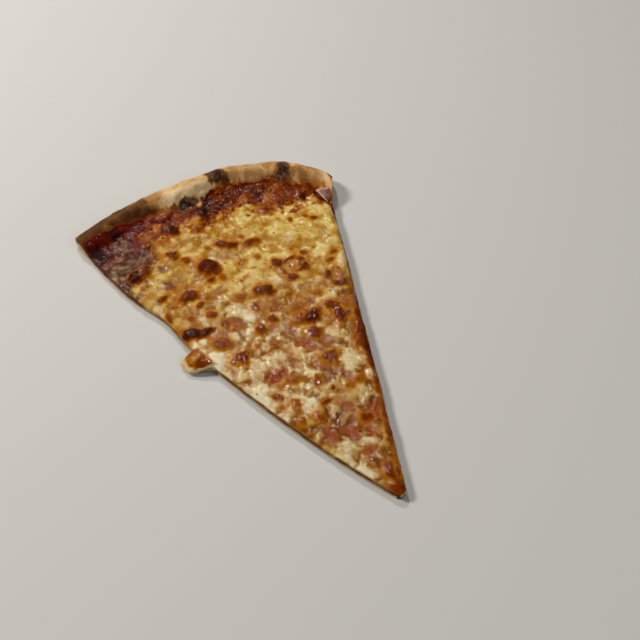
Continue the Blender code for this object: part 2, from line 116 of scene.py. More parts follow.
# --- Baking marks, in the slice's own millimetres ----------------------------------------------
# Blisters of the cheese: x, y, half length, half width, turn in degrees, rise, toast (1 is darkest)
BLISTERS = [
    # tip
    (0.6, 14.0, 2.6, 7.0, -12, 0.2, 0.66), (-0.6, 39.3, 1.1, 1.0, 0, 0.2, 0.92),
    (4.8, 45.6, 3.4, 3.4, 0, 0.7, 0.68), (-13.6, 55.6, 2.8, 4.8, 14, 0.6, 0.56),
    (-21.9, 56.6, 2.6, 2.6, 0, 0.5, 0.58), (-6.2, 61.6, 3.8, 1.5, 5, 0.3, 0.72),
    (0.0, 68.2, 1.5, 1.7, 0, 0.2, 0.74), (8.4, 65.6, 3.4, 3.6, 0, 0.3, 0.46),
    (-20.4, 66.6, 3.2, 4.0, 0, 0.4, 0.48), (-26.2, 74.2, 3.6, 3.8, -15, 0.5, 0.60),
    (-4.4, 75.0, 2.6, 5.0, -26, 0.4, 0.58), (14.0, 67.4, 3.4, 2.6, 0, 0.3, 0.54),
    # middle
    (-15.0, 81.2, 4.8, 2.7, -6, 0.5, 0.50), (8.2, 85.2, 4.4, 5.0, 8, 0.8, 0.64),
    (-30.4, 104.0, 5.8, 4.6, 12, 1.0, 0.70), (-14.6, 103.8, 2.8, 2.4, 0, 0.5, 0.60),
    (8.2, 104.0, 4.0, 3.8, 0, 0.6, 0.72), (-20.2, 108.6, 2.0, 1.8, 0, 0.3, 0.50),
    (10.9, 114.2, 6.2, 5.2, 6, 1.4, 0.88), (3.8, 116.4, 4.0, 4.2, 0, 0.5, 0.56),
    (24.8, 115.6, 4.8, 4.8, 0, 0.7, 0.70), (25.2, 108.2, 4.2, 5.6, 8, 1.0, 0.84),
    (23.0, 102.4, 2.6, 2.8, 0, 0.3, 0.52), (31.4, 115.0, 2.8, 4.6, 0, 0.3, 0.46),
    (-14.2, 117.0, 3.4, 4.4, 8, 0.9, 0.68), (-35.0, 117.4, 5.2, 3.8, 0, 0.9, 0.66),
    (10.0, 123.6, 5.6, 4.2, 10, 0.4, 0.52), (-5.8, 121.2, 2.4, 3.2, 10, 0.5, 0.70),
    (-11.0, 132.4, 2.3, 3.4, 0, 0.5, 0.60), (-25.4, 123.6, 3.0, 2.4, 0, 0.3, 0.48),
    (-46.4, 129.8, 4.6, 3.8, -12, 1.1, 0.98), (-39.6, 128.2, 4.6, 2.5, 8, 0.9, 0.92),
    (-28.8, 128.4, 2.9, 2.7, 0, 0.5, 0.60), (-33.6, 137.2, 4.0, 3.0, 20, 0.7, 0.66),
    (-35.0, 147.0, 3.4, 2.2, 0, 0.4, 0.60), (-43.0, 139.6, 2.6, 2.6, 0, 0.3, 0.56),
    (-52.2, 145.8, 2.0, 4.2, 0, 0.3, 0.60), (-47.0, 151.6, 2.8, 1.8, 0, 0.2, 0.52),
    (-1.6, 141.4, 6.0, 4.6, -6, 1.1, 0.80), (-14.0, 142.8, 3.8, 3.0, 0, 0.4, 0.52),
    (8.8, 133.6, 2.4, 3.0, 0, 0.3, 0.50), (21.4, 128.2, 4.2, 2.6, 0, 0.3, 0.46),
    (43.9, 150.6, 3.2, 2.4, 0, 0.5, 0.56), (39.8, 146.6, 2.8, 2.0, 0, 0.4, 0.62),
    (35.2, 129.4, 3.4, 2.6, -10, 0.6, 0.88), (13.0, 156.6, 3.4, 3.4, 0, 0.6, 0.78),
    (25.6, 146.8, 3.0, 4.4, 0, 0.5, 0.60), (16.0, 142.8, 3.6, 2.6, 0, 0.5, 0.78),
    (-53.0, 114.4, 4.6, 5.4, 0, 0.5, 0.70), (18.6, 117.4, 2.6, 3.4, 0, 0.2, 0.44),
    # upper part
    (-37.8, 155.6, 5.5, 4.2, 8, 1.3, 0.76), (-50.8, 159.4, 4.2, 1.7, 14, 0.4, 0.70),
    (-43.7, 165.8, 3.2, 2.8, 0, 0.8, 0.74), (-16.2, 160.8, 3.4, 3.8, 0, 0.4, 0.50),
    (-22.8, 161.4, 2.8, 2.0, 0, 0.4, 0.72), (-20.6, 171.0, 6.0, 5.6, 0, 1.7, 0.88),
    (-18.2, 164.8, 3.6, 3.0, 0, 0.6, 0.66), (-7.4, 183.2, 4.4, 2.8, -34, 1.0, 0.80),
    (-2.4, 180.2, 3.8, 2.5, -30, 0.9, 0.84), (6.9, 177.6, 5.6, 3.1, 4, 0.9, 0.68),
    (5.0, 184.4, 2.3, 1.8, 0, 0.3, 0.52), (-34.3, 187.4, 3.9, 3.7, 0, 1.1, 0.76),
    (-28.8, 180.8, 3.4, 2.6, -8, 0.5, 0.64), (11.8, 191.4, 1.8, 1.8, 0, 0.2, 0.30),
    (33.9, 184.4, 1.8, 2.7, -12, 0.5, 0.52), (43.2, 183.6, 2.8, 1.9, -48, 0.4, 0.50),
    (47.0, 179.6, 2.9, 2.0, -40, 0.5, 0.66), (18.2, 182.0, 1.7, 1.4, 0, 0.2, 0.42),
    (31.4, 168.0, 1.5, 1.4, 0, 0.2, 0.42), (5.2, 165.8, 2.0, 2.6, 12, 0.3, 0.48),
    (-3.2, 165.8, 3.2, 2.2, 20, 0.3, 0.50), (25.2, 163.0, 2.8, 2.2, 0, 0.3, 0.44),
    (0.8, 159.4, 2.0, 1.3, 0, 0.2, 0.40), (29.4, 157.8, 3.0, 2.2, 0, 0.3, 0.56),
    (28.6, 187.8, 1.5, 1.2, 0, 0.2, 0.40), (20.0, 188.6, 1.5, 1.2, 0, 0.2, 0.38),
    (55.6, 190.0, 2.2, 3.0, -12, 0.4, 0.58), (-42.6, 199.4, 3.6, 2.8, 0, 0.3, 0.42),
    (-36.0, 199.4, 1.8, 3.0, 0, 0.3, 0.56), (-41.4, 205.2, 2.0, 1.5, 0, 0.2, 0.66),
    (-16.2, 199.4, 3.0, 2.2, 0, 0.3, 0.54), (-26.4, 206.4, 3.6, 4.8, -14, 1.2, 0.92),
    (-7.4, 202.8, 1.8, 2.6, 0, 0.3, 0.74), (-57.0, 180.4, 4.4, 4.8, -20, 1.3, 1.00),
    (-50.6, 183.2, 4.2, 4.2, -30, 1.1, 0.82), (-15.4, 184.2, 2.0, 2.6, 0, 0.3, 0.52),
    (26.6, 198.0, 4.0, 3.0, 0, 0.4, 0.68), (34.4, 196.4, 1.5, 3.0, 0, 0.3, 0.66),
    (42.2, 196.8, 2.2, 2.0, 0, 0.3, 0.62), (-10.6, 152.6, 2.4, 1.8, 0, 0.2, 0.44),
    (36.0, 158.6, 1.8, 1.4, 0, 0.2, 0.40), (-29.6, 149.6, 2.4, 1.8, 0, 0.2, 0.46),
]

# Bubbles that burst and left a browned ring: x, y, half length, half width
BURST = [(19.4, 150.6, 7.8, 7.4), (36.2, 134.6, 4.8, 6.4)]

# Places where the sauce shows through the cheese: x, y, half length, half width, strength
THIN_PLACES = [
    (-2.4, 28.2, 6.4, 3.6, 1.0), (-4.4, 17.6, 4.2, 3.4, 0.7), (4.6, 35.4, 3.4, 5.0, 0.9),
    (-15.4, 42.6, 4.8, 6.8, 1.0), (-4.0, 6.0, 3.2, 5.4, 0.9), (-0.6, 58.4, 3.8, 3.4, 0.9),
    (2.4, 54.2, 3.6, 4.0, 0.9), (5.2, 49.4, 3.4, 3.6, 0.8), (-27.2, 65.8, 3.8, 3.4, 0.9),
    (-20.4, 67.4, 3.0, 4.4, 0.7), (-25.8, 74.4, 4.0, 4.4, 0.7), (-22.8, 81.6, 3.4, 4.2, 0.8),
    (-19.0, 88.2, 3.2, 4.4, 1.0), (-15.0, 93.8, 3.0, 3.6, 0.9), (-8.2, 100.6, 4.8, 5.6, 0.8),
    (-6.8, 93.4, 3.8, 5.6, 0.6), (-38.6, 97.8, 2.4, 6.4, 1.0), (-14.4, 104.4, 3.4, 2.8, 0.7),
    (-40.4, 115.8, 5.6, 2.8, 0.8), (-45.4, 112.8, 2.4, 2.8, 0.7), (-14.0, 142.8, 5.0, 4.0, 1.0),
    (-52.4, 145.6, 2.8, 5.4, 0.9), (-47.2, 151.6, 3.4, 2.2, 0.8), (-41.0, 140.4, 4.4, 3.4, 0.5),
    (-16.0, 160.8, 3.6, 4.4, 0.8), (26.4, 150.0, 3.6, 5.6, 0.6), (36.4, 133.8, 4.6, 6.0, 0.6),
    (-50.6, 159.6, 4.8, 2.2, 0.7), (-30.0, 142.0, 6.0, 5.0, 0.4), (2.8, 97.4, 3.6, 4.4, 0.4),
    (-9.0, 69.6, 4.4, 4.4, 0.4), (-46.8, 187.0, 2.0, 4.0, 0.6), (-45.0, 180.0, 1.8, 5.0, 0.5),
    (-36.8, 177.6, 3.0, 2.4, 0.5), (-47.4, 172.4, 2.6, 3.4, 0.5), (56.0, 188.6, 2.2, 3.4, 0.5),
    (12.0, 34.0, 2.0, 3.4, 0.5), (-56.0, 166.0, 3.4, 3.4, 0.4), (22.0, 134.0, 6.0, 3.0, 0.35),
    (-24.0, 133.0, 5.0, 3.4, 0.35),
]

# Ropes of white cream cheese, and one painted glint streak: x and y of both ends, half width, strength
CREAM_ROPES_AND_GLINT = [
    (-10.8, 31.2, -6.6, 36.4, 1.4, 0.7), (-7.0, 37.0, -9.0, 42.0, 1.3, 0.5),
    (-6.4, 46.0, -6.0, 51.0, 2.2, 0.5), (-4.8, 21.8, 0.0, 22.6, 1.6, 0.7),
    (0.0, 22.6, 3.8, 27.6, 1.5, 0.7),
    (-8.8, 15.0, -11.3, 22.6, 1.5, 0.9), (-11.3, 22.6, -12.0, 28.6, 1.6, 1.0),
    (0.8, 33.0, 3.2, 29.8, 1.3, 0.6), (-1.2, 35.8, -0.4, 36.6, 1.7, 0.7),
    (-28.4, 59.4, -29.4, 64.0, 1.8, 0.9), (-31.6, 70.0, -34.0, 78.0, 2.0, 1.0),
    (-18.2, 56.6, -16.6, 63.6, 1.6, 0.7), (-13.2, 61.6, -12.6, 69.4, 3.0, 0.5),
    (13.8, 72.4, 13.8, 78.6, 4.0, 0.6), (13.6, 50.0, 14.4, 58.6, 2.8, 0.45),
    (-33.6, 80.2, -29.0, 89.0, 2.8, 0.9), (-29.0, 89.0, -23.4, 95.2, 2.5, 0.8),
    (-42.0, 105.8, -41.2, 110.4, 3.4, 1.0), (-23.0, 99.8, -21.8, 104.0, 2.2, 0.9),
    (-17.4, 105.4, -13.0, 110.4, 1.7, 1.0), (-13.0, 110.4, -9.2, 110.9, 1.7, 1.0),
    (-9.2, 110.9, -4.6, 112.8, 1.7, 0.9), (-4.6, 112.8, -2.8, 117.6, 1.8, 0.8),
    (13.7, 103.4, 14.6, 97.0, 2.4, 0.9), (14.6, 97.0, 16.6, 89.4, 2.3, 0.8),
    (16.6, 89.4, 18.6, 83.0, 2.3, 0.8), (-12.4, 86.8, -12.0, 91.6, 1.6, 0.9),
    (-8.4, 83.4, -3.6, 79.6, 1.9, 0.8), (-45.2, 120.6, -43.8, 122.4, 3.0, 1.0),
    (-19.2, 119.8, -16.6, 127.6, 1.9, 0.9), (-38.8, 133.0, -38.0, 138.6, 1.7, 0.7),
    (7.4, 137.0, 7.9, 148.6, 2.6, 0.8), (-55.6, 152.2, -54.6, 157.0, 2.2, 1.0),
    (-14.4, 178.6, -12.6, 171.0, 2.0, 0.9), (-25.0, 113.6, -22.4, 116.4, 1.4, 0.7),
    (-28.4, 108.8, -25.0, 113.6, 1.2, 0.6), (27.8, 169.6, 28.2, 173.2, 1.8, 0.8),
    (13.8, 180.4, 14.2, 182.4, 1.7, 0.6), (43.6, 158.6, 45.4, 167.0, 3.6, 0.6),
    # The first rope on the next line, along the left edge at x -45, paints a pink-white glint streak as
    # cream.
    (-45.4, 178.6, -44.8, 189.4, 0.9, 0.7), (2.0, 109.6, -2.4, 116.0, 2.6, 0.5),
    (8.6, 92.0, 5.0, 97.0, 2.0, 0.5), (-37.6, 182.6, -39.8, 185.0, 2.0, 0.5),
    (20.6, 107.6, 18.6, 101.0, 1.6, 0.5), (-35.6, 86.0, -37.0, 90.0, 1.6, 0.7),
    (-8.0, 176.0, -4.0, 170.0, 1.6, 0.5), (34.6, 122.0, 31.0, 126.0, 1.8, 0.4),
    (-26.0, 118.4, -22.0, 121.0, 1.6, 0.5), (-4.0, 112.0, 0.5, 118.0, 3.0, 0.6),
    (14.0, 106.0, 18.0, 97.0, 3.2, 0.6), (2.0, 104.5, 5.0, 99.0, 2.2, 0.5),
    (21.0, 101.5, 29.0, 102.5, 1.8, 0.5), (18.5, 121.5, 17.0, 127.5, 1.8, 0.5),
    (-8.0, 136.0, -3.0, 134.0, 1.8, 0.4),
]

# Pools of amber oil: x, y, half length, half width, strength
OIL_POOLS = [
    (-15.0, 81.2, 5.6, 3.4, 1.0), (8.4, 84.8, 4.4, 5.0, 1.0), (8.0, 123.4, 7.0, 5.2, 1.0),
    (-4.8, 131.6, 4.2, 3.4, 1.0), (12.0, 191.4, 2.6, 2.2, 1.0), (-17.4, 38.2, 2.4, 3.6, 0.9),
    (-15.2, 27.6, 1.7, 2.8, 0.9), (-42.4, 198.8, 5.0, 3.6, 0.9), (-14.6, 207.0, 4.0, 3.6, 0.8),
    (25.6, 152.6, 4.4, 6.4, 0.8), (-16.0, 158.6, 4.4, 4.0, 0.8), (44.4, 151.0, 4.4, 3.4, 0.8),
    (20.8, 128.4, 6.0, 3.6, 0.8), (-31.0, 101.4, 4.4, 3.0, 0.8), (4.0, 116.4, 4.4, 4.4, 0.8),
    (31.4, 115.4, 3.4, 5.4, 0.8), (-34.4, 207.6, 3.4, 3.0, 0.8), (-24.6, 191.4, 3.4, 3.4, 0.4),
    (-20.6, 186.4, 4.4, 2.4, 0.6), (33.9, 184.4, 2.8, 3.6, 0.8), (44.0, 182.4, 4.4, 3.2, 0.7),
    (25.2, 163.0, 3.8, 3.2, 0.8), (5.2, 165.6, 3.0, 3.4, 0.8), (-4.0, 165.8, 4.4, 3.2, 0.8),
    (17.6, 117.6, 3.4, 4.0, 0.7), (-13.6, 57.0, 4.0, 5.4, 0.5), (8.4, 66.0, 5.0, 4.4, 0.5),
    (-29.4, 149.4, 4.4, 3.0, 0.5), (-24.4, 124.4, 4.4, 3.4, 0.6), (9.0, 134.6, 4.4, 2.4, 0.5),
    (-36.8, 70.0, 1.8, 4.0, 0.7), (-23.4, 55.4, 3.4, 3.4, 0.5), (-30.8, 193.0, 3.0, 3.0, 0.4),
    (-33.6, 183.0, 4.2, 2.4, 0.5), (20.0, 188.0, 2.4, 2.0, 0.5), (28.6, 188.0, 2.4, 2.2, 0.5),
]

# How far the dark strip along the right cut reaches in, baked and with painted shade of the gap between the
# slices: y, reach
RIGHT_BAKE_AND_SHADE = [(0.0, 4.0), (10.0, 5.6), (20.0, 4.8), (30.0, 5.6), (40.0, 6.0), (50.0, 3.6), (60.0, 4.2),
              (70.0, 4.2), (80.0, 9.6), (90.0, 12.4), (100.0, 8.6), (110.0, 3.6), (118.0, 1.2),
              (128.0, 0.6), (240.0, 0.6)]

# Baked marks of the bare crust: x, y, half length, half width, turn, toast, char
CRUST_MARKS = [
    (-62.0, 226.1, 12.0, 5.0, 20, 0.86, 0.0), (-52.0, 228.0, 8.0, 4.0, 12, 0.76, 0.0),
    (-45.4, 226.2, 4.0, 3.0, 0, 0.88, 0.1), (-39.7, 226.4, 3.2, 3.0, 0, 0.84, 0.0),
    (-34.0, 231.0, 2.6, 3.0, 0, 0.78, 0.0), (-57.0, 221.6, 3.4, 2.0, 0, 0.66, 0.0),
    (-10.6, 223.4, 9.0, 3.2, 6, 0.90, 0.95), (-9.0, 219.6, 9.6, 2.6, 0, 0.86, 0.3),
    (-17.6, 223.4, 3.4, 2.0, 10, 0.70, 0.4), (12.4, 234.0, 6.6, 5.4, 0, 0.86, 0.7),
    (9.6, 236.4, 3.4, 3.0, 0, 0.86, 0.5), (15.4, 229.4, 3.4, 3.4, 0, 0.80, 0.2),
    (28.1, 227.2, 2.0, 5.0, -20, 0.46, 0.0), (35.4, 224.4, 2.0, 5.4, -25, 0.42, 0.0),
    (47.4, 220.6, 6.0, 4.8, 28, 0.92, 0.85), (43.4, 218.4, 2.6, 2.0, 0, 0.84, 0.5),
    (47.3, 214.2, 3.0, 3.4, 0, 0.74, 0.1), (56.1, 212.4, 2.6, 6.0, -10, 0.58, 0.0),
    (53.0, 217.4, 3.0, 2.4, 0, 0.56, 0.0), (70.8, 202.8, 1.6, 4.0, 0, 0.72, 0.1),
    (21.4, 231.0, 3.0, 5.0, 0, 0.46, 0.0), (41.0, 228.0, 4.0, 2.4, -20, 0.50, 0.0),
]

# Sauce stains on the crust: x, y, half length, half width, strength
CRUST_STAINS = [(11.4, 225.6, 4.8, 4.6, 1.0), (-31.0, 222.6, 6.0, 2.6, 0.8), (16.8, 223.4, 4.0, 2.4, 0.8),
                (-49.0, 221.6, 8.0, 1.8, 0.5), (47.8, 213.0, 4.0, 2.4, 0.5), (60.4, 203.4, 3.4, 3.6, 0.6),
                (30.0, 219.0, 6.0, 2.0, 0.5)]

# Marks in the open sauce, and painted glints on its filmed corner: x, y, half length, half width, change of
# tone, char
SAUCE_MARKS_AND_GLINTS = [
    (-68.6, 209.0, 4.4, 6.4, -0.3, 1.0), (0.8, 214.4, 9.0, 5.6, -0.34, 0.0),
    (-5.4, 213.0, 3.6, 8.0, -0.22, 0.2), (29.8, 216.4, 5.0, 4.4, -0.26, 0.0),
    (-53.0, 217.0, 5.0, 2.6, -0.2, 0.2), (-42.6, 218.4, 5.4, 3.4, -0.2, 0.0),
    (-14.4, 210.4, 4.4, 4.0, 0.16, 0.0), (52.4, 205.6, 5.0, 4.0, 0.06, 0.0),
    (-33.0, 213.4, 4.0, 4.0, 0.20, 0.0), (-28.0, 221.6, 7.0, 3.0, 0.22, 0.0),
    (19.4, 213.6, 4.0, 4.0, 0.16, 0.0), (40.0, 199.0, 3.4, 3.0, -0.2, 0.0),
    (51.4, 199.4, 4.4, 3.0, -0.24, 0.0), (-26.4, 208.0, 3.4, 4.0, -0.2, 0.3),
    (24.0, 219.0, 6.0, 2.2, 0.18, 0.0), (-65.6, 203.0, 4.4, 3.4, -0.1, 0.4),
    (-12.0, 209.0, 6.0, 5.0, 0.26, 0.0), (-34.0, 213.0, 6.0, 4.0, 0.20, 0.0),
    (-20.0, 216.0, 3.0, 5.0, 0.22, 0.0), (-42.0, 208.0, 4.0, 5.0, 0.20, 0.0),
    # The pale spots on the filmed corner from here on are painted glints on the pale film, all but the golden
    # spot at (-53.6, 195.8) and the dark mark at (-5.0, 220.0).
    (-60.6, 199.6, 3.6, 3.0, 0.5, 0.0), (-65.2, 198.4, 1.6, 1.2, 0.6, 0.0),
    (-68.8, 197.4, 1.0, 1.4, 0.6, 0.0), (-5.0, 220.0, 12.0, 4.4, -0.34, 0.3),
    (-66.0, 188.0, 2.0, 3.0, 0.45, 0.0), (-62.6, 184.0, 1.5, 2.2, 0.45, 0.0),
    (-58.6, 192.6, 3.0, 2.4, 0.3, 0.0), (-53.6, 195.8, 2.4, 1.8, 0.4, 0.0),
]

# Flecks of herb and char: x, y, length, turn in degrees, burnt share
FLECKS = [
    (-6.0, 52.6, 3.0, 60, 0.15), (2.1, 79.9, 1.6, 20, 0.7), (-4.3, 105.2, 1.2, 80, 0.6),
    (-0.6, 39.4, 1.3, 0, 0.9), (-34.0, 80.4, 1.3, 40, 0.5), (-40.2, 103.6, 1.1, 120, 0.7),
    (6.8, 51.6, 1.2, 30, 0.8), (19.2, 66.2, 1.2, 70, 0.8), (22.4, 84.0, 1.1, 15, 0.5),
    (-19.4, 96.4, 1.0, 95, 0.6), (12.8, 171.6, 1.1, 10, 0.5), (21.8, 178.6, 1.5, 70, 0.3),
    (-23.4, 140.6, 1.2, 35, 0.5), (-9.2, 148.2, 1.0, 110, 0.6), (33.6, 174.0, 1.1, 50, 0.4),
    (-31.6, 166.0, 1.2, 150, 0.5), (18.4, 151.6, 1.6, 20, 0.7), (-27.0, 92.0, 0.9, 60, 0.5),
    (-10.4, 126.4, 1.1, 20, 0.6), (4.6, 200.6, 1.2, 75, 0.5),
]

# Paler parts of the cheese: x, y, half length, half width, strength
PALE_PATCHES = [(12.0, 113.0, 34.0, 18.0, 0.18), (-32.0, 172.0, 26.0, 26.0, 0.14),
                (-40.0, 150.0, 22.0, 22.0, 0.12)]

# Margins, as cheese_margin gives them, at which the cheese starts and is whole
COVER_SPAN = (-0.25, 0.85)

# Soft square lights: name, place, size, power, colour, seen in wet surfaces
LIGHTS = [
    ("window", (0.12, 1.02, 1.05), 0.20, 7.2, (1.0, 0.96, 0.90), True),
    ("key", (-0.80, 0.70, 0.95), 0.32, 14.5, (1.0, 0.97, 0.92), False),
    ("fill", (0.5, -1.1, 1.1), 1.2, 7.0, (1.0, 0.98, 0.95), False),
]
SKY_COLOUR = (1.0, 0.97, 0.94, 1.0)
SKY_STRENGTH = 0.05

# Camera: place in the slice's millimetres, level direction, pitch down in degrees, focal length
CAMERA_PLACE = (-157.96, -226.08, 410.46)
CAMERA_AHEAD = (0.457, 0.889)
CAMERA_PITCH = 46.95
FOCAL_LENGTH = 61.875
SENSOR_WIDTH = 36.0


# --- Noise ----------------------------------------------------------------------------------------------
def ease(low, high, value):
    """Smooth step from 0 at low to 1 at high: 3t^2 - 2t^3."""
    t = np.clip((value - low) / (high - low), 0.0, 1.0)
    return t * t * (3.0 - 2.0 * t)


def bell(value, centre, half, power=2):
    """Bell of height 1 round a centre: exp(-((value - centre) / half)^power)."""
    return np.exp(-((value - centre) / half) ** power)


def cloud(x, y, size, seed):
    """Smooth noise, -1 to 1: random heights on a turned square net `size` wide, blended by
    t^3(6t^2-15t+10)."""
    table = np.random.default_rng(seed).uniform(-1.0, 1.0, (256, 256))
    turn = 0.7 * seed + 0.3
    u = (x * np.cos(turn) + y * np.sin(turn)) / size
    v = (y * np.cos(turn) - x * np.sin(turn)) / size
    i, j = np.floor(u).astype(int), np.floor(v).astype(int)
    a, b = u - i, v - j
    a = a * a * a * (a * (6.0 * a - 15.0) + 10.0)
    b = b * b * b * (b * (6.0 * b - 15.0) + 10.0)
    low = table[j & 255, i & 255] * (1.0 - a) + table[j & 255, (i + 1) & 255] * a
    high = table[(j + 1) & 255, i & 255] * (1.0 - a) + table[(j + 1) & 255, (i + 1) & 255] * a
    return low * (1.0 - b) + high * b


def clouds(x, y, size, seed, octaves=3):
    """Sum of `octaves` clouds, each half the size and 0.55 the height of the one before, scaled to
    about -1 to 1."""
    total, weight, height = 0.0, 0.0, 1.0
    for octave in range(octaves):
        total = total + height * cloud(x, y, size * 0.5 ** octave, seed + 11 * octave)
        weight += height
        height *= 0.55
    return 1.35 * total / weight


def billow(x, y, size, seed, octaves=2):
    """Rounded lumps with sharp creases between them, about 0 to 1: the size of clouds without sign."""
    return np.clip(1.7 * np.abs(clouds(x, y, size, seed, octaves)), 0.0, 1.2)


def rounded(lumps):
    """Lumps with their creases filled in: sqrt(h^2 + 0.08) - 0.28."""
    return np.sqrt(lumps ** 2 + 0.08) - 0.28


def pebbles(x, y, size, seed):
    """Distance, in sizes, to the nearest of points jittered in a square net, and a value per point."""
    rng = np.random.default_rng(seed)
    jitter = rng.uniform(0.1, 0.9, (2, 128, 128))
    value = rng.uniform(0.0, 1.0, (128, 128))
    u, v = x / size, y / size
    i, j = np.floor(u).astype(int), np.floor(v).astype(int)
    close, tag = np.full(x.shape, 9.0), np.zeros(x.shape)
    for di in (-1, 0, 1):
        for dj in (-1, 0, 1):
            a, b = (i + di) & 127, (j + dj) & 127
            reach = np.hypot(i + di + jitter[0, b, a] - u, j + dj + jitter[1, b, a] - v)
            tag = np.where(reach < close, value[b, a], tag)
            close = np.minimum(close, reach)
    return close, tag


def strands(x, y, length, width, seed):
    """Crossing shreds: the highest of five noises, each stretched along its own direction."""
    best = np.full(x.shape, -2.0)
    for k in range(5):
        turn = 0.63 * k + 0.2 * clouds(x, y, 30.0, seed + 50, 1)
        along = x * np.cos(turn) + y * np.sin(turn)
        across = y * np.cos(turn) - x * np.sin(turn)
        best = np.maximum(best, cloud(along / length, across / width, 1.0, seed + 3 * k))
    return best


def mound(x, y, centre_x, centre_y, half_x, half_y):
    """Rounded bump of height 1 with an elliptical foot: (1 - r^2)^1.5."""
    reach = ((x - centre_x) / half_x) ** 2 + ((y - centre_y) / half_y) ** 2
    return np.clip(1.0 - reach, 0.0, None) ** 1.5


def oval(x, y, centre_x, centre_y, half_x, half_y, turn=0.0):
    """Distance from a mark's middle, 1 at the edge of its turned oval."""
    c, s = np.cos(radians(turn)), np.sin(radians(turn))
    dx, dy = x - centre_x, y - centre_y
    return np.hypot((dx * c + dy * s) / half_x, (dy * c - dx * s) / half_y)


# --- Outline --------------------------------------------------------------------------------------------
def left_cut(y):
    """x of the left cut: a straight line to the corner, bowed out, with one shallow hollow."""
    line = TIP_HALF + (HALF_WIDTH - TIP_HALF) * y / LEFT_CORNER_Y
    bow = LEFT_BOW * (1.0 - np.abs(2.0 * y / LEFT_CORNER_Y - 1.0) ** 2.6)
    return -(line + bow - LEFT_DENT * bell(y, LEFT_DENT_Y, LEFT_DENT_HALF))


def right_cut(y):
    """x of the right cut: a straight line with a slow wave, flaring out at the crust."""
    wave = RIGHT_WAVE * np.cos(pi * y / RIGHT_WAVE_LENGTH)
    return RIGHT_SLOPE * y + wave + RIGHT_FLARE * ease(*RIGHT_FLARE_SPAN, y)


def cut_share(x, y):
    """Place between the cuts: 0 on the left one, 1 on the right one."""
    return np.clip((x - left_cut(y)) / np.maximum(right_cut(y) - left_cut(y), 1.0), 0.0, 1.0)


def tip_line(s, back=0.0):
    """y of the blunt tip, `back` behind the real one: rounded by its squared distance from the middle."""
    return TIP_Y + back + (2.0 * s - 1.0) ** 2


def crust_line(s):
    """y of the crust's outer edge at the share s from the left corner to the right: a round line
    with a bulge and a flat, falling back at both corners."""
    x = HALF_WIDTH * (2.0 * s - 1.0)
    line = np.sqrt(CRUST_RADIUS ** 2 - x ** 2)
    for place, half, rise in CRUST_SWELLS:
        line = line + rise * bell(s, place, half)
    return line - LEFT_DROP * (1.0 - s) ** 8 - RIGHT_DROP * s ** 7


def crust_slant(s):
    """Length along y of one millimetre measured square to the crust's outer edge: sqrt(1 + slope^2)."""
    step = 0.001
    rise = crust_line(s + step) - crust_line(s - step)
    return np.hypot(1.0, rise / (4.0 * HALF_WIDTH * step))


def crust_reach(s, y):
    """Distance in from the crust's outer edge, measured square to it."""
    return (crust_line(s) - y) / crust_slant(s)


def bare_width(s):
    """Width of the crust that no sauce covers: widest in the middle, with small waves."""
    return 10.5 + 4.8 * np.sin(pi * np.clip(1.15 * s, 0.0, 1.0)) - ease(0.8, 1.0, s) + 0.6 * np.sin(19.0 * s)


def sauce_line(s):
    """Where the sauce ends on the crust: the bare width, less at the left, more near the middle and right."""
    shift = -2.6 * ease(0.28, 0.05, s) + 1.6 * bell(s, 0.84, 0.07)
    shift = shift + 4.2 * bell(s, 0.43, 0.06, 4)
    ragged = 0.9 * clouds(240.0 * s, 0.0 * s, 6.0, 95, 3)
    return bare_width(s) + shift + ragged


def crust_top(s):
    """Height of the crust's crest: low at the left corner, highest past the middle."""
    left = (CRUST_HEIGHT - CRUST_HEIGHT_LEFT) * (1.0 - ease(0.0, 0.4, s))
    right = (CRUST_HEIGHT - CRUST_HEIGHT_RIGHT) * ease(0.85, 1.0, s)
    return CRUST_HEIGHT - left - right + 0.5 * np.sin(15.0 * s + 1.0)


def dough_surface(s, x, y):
    """Top of the dough: flat, then a cosine rise to the crest, a quarter ellipse outside it, and bubbles."""
    u = crust_reach(s, y) / (bare_width(s) + CRUST_SHOULDER)
    crest = crust_top(s)
    equator = CRUST_EQUATOR * crest
    outer = equator + (crest - equator) * np.sqrt(1.0 - np.clip(1.0 - u / CRUST_PEAK, 0.0, 1.0) ** 2)
    fall = 0.5 + 0.5 * np.cos(pi * np.clip((u - CRUST_PEAK) / (1.0 - CRUST_PEAK), 0.0, 1.0))
    height = np.where(u < CRUST_PEAK, outer, DOUGH_THICK + (crest - DOUGH_THICK) * fall)
    for *oval_foot, rise in CRUST_BUBBLES:
        height = height + rise * mound(x, y, *oval_foot)
    return height


def dough_underside(s, y):
    """Flat, curling up like a quarter of an ellipse under the crust's outer edge."""
    curl = np.clip(1.0 - crust_reach(s, y) / CRUST_FOOT, 0.0, 1.0)
    return (CRUST_EQUATOR * crust_top(s) - 0.8) * (1.0 - np.sqrt(1.0 - curl ** 2))


def cheese_left(y):
    """x of the cheese's left edge: along the cut with small waves, then in round the bare corner."""
    ragged = 0.35 * clouds(y, 0.0 * y + 5.0, 5.0, 21)
    return left_cut(y) + CHEESE_INSET + BARE_CORNER * ease(169.0, 197.0, y) + ragged


def cheese_right(y):
    """x of the cheese's right edge: along the cut with small waves, drawn back below the torn flap."""
    back = 1.6 * ease(165.0, 187.0, y) + 3.4 * ease(186.0, 193.0, y)
    return right_cut(y) - CHEESE_INSET - back + 0.35 * clouds(y, 0.0 * y + 9.0, 5.0, 23)


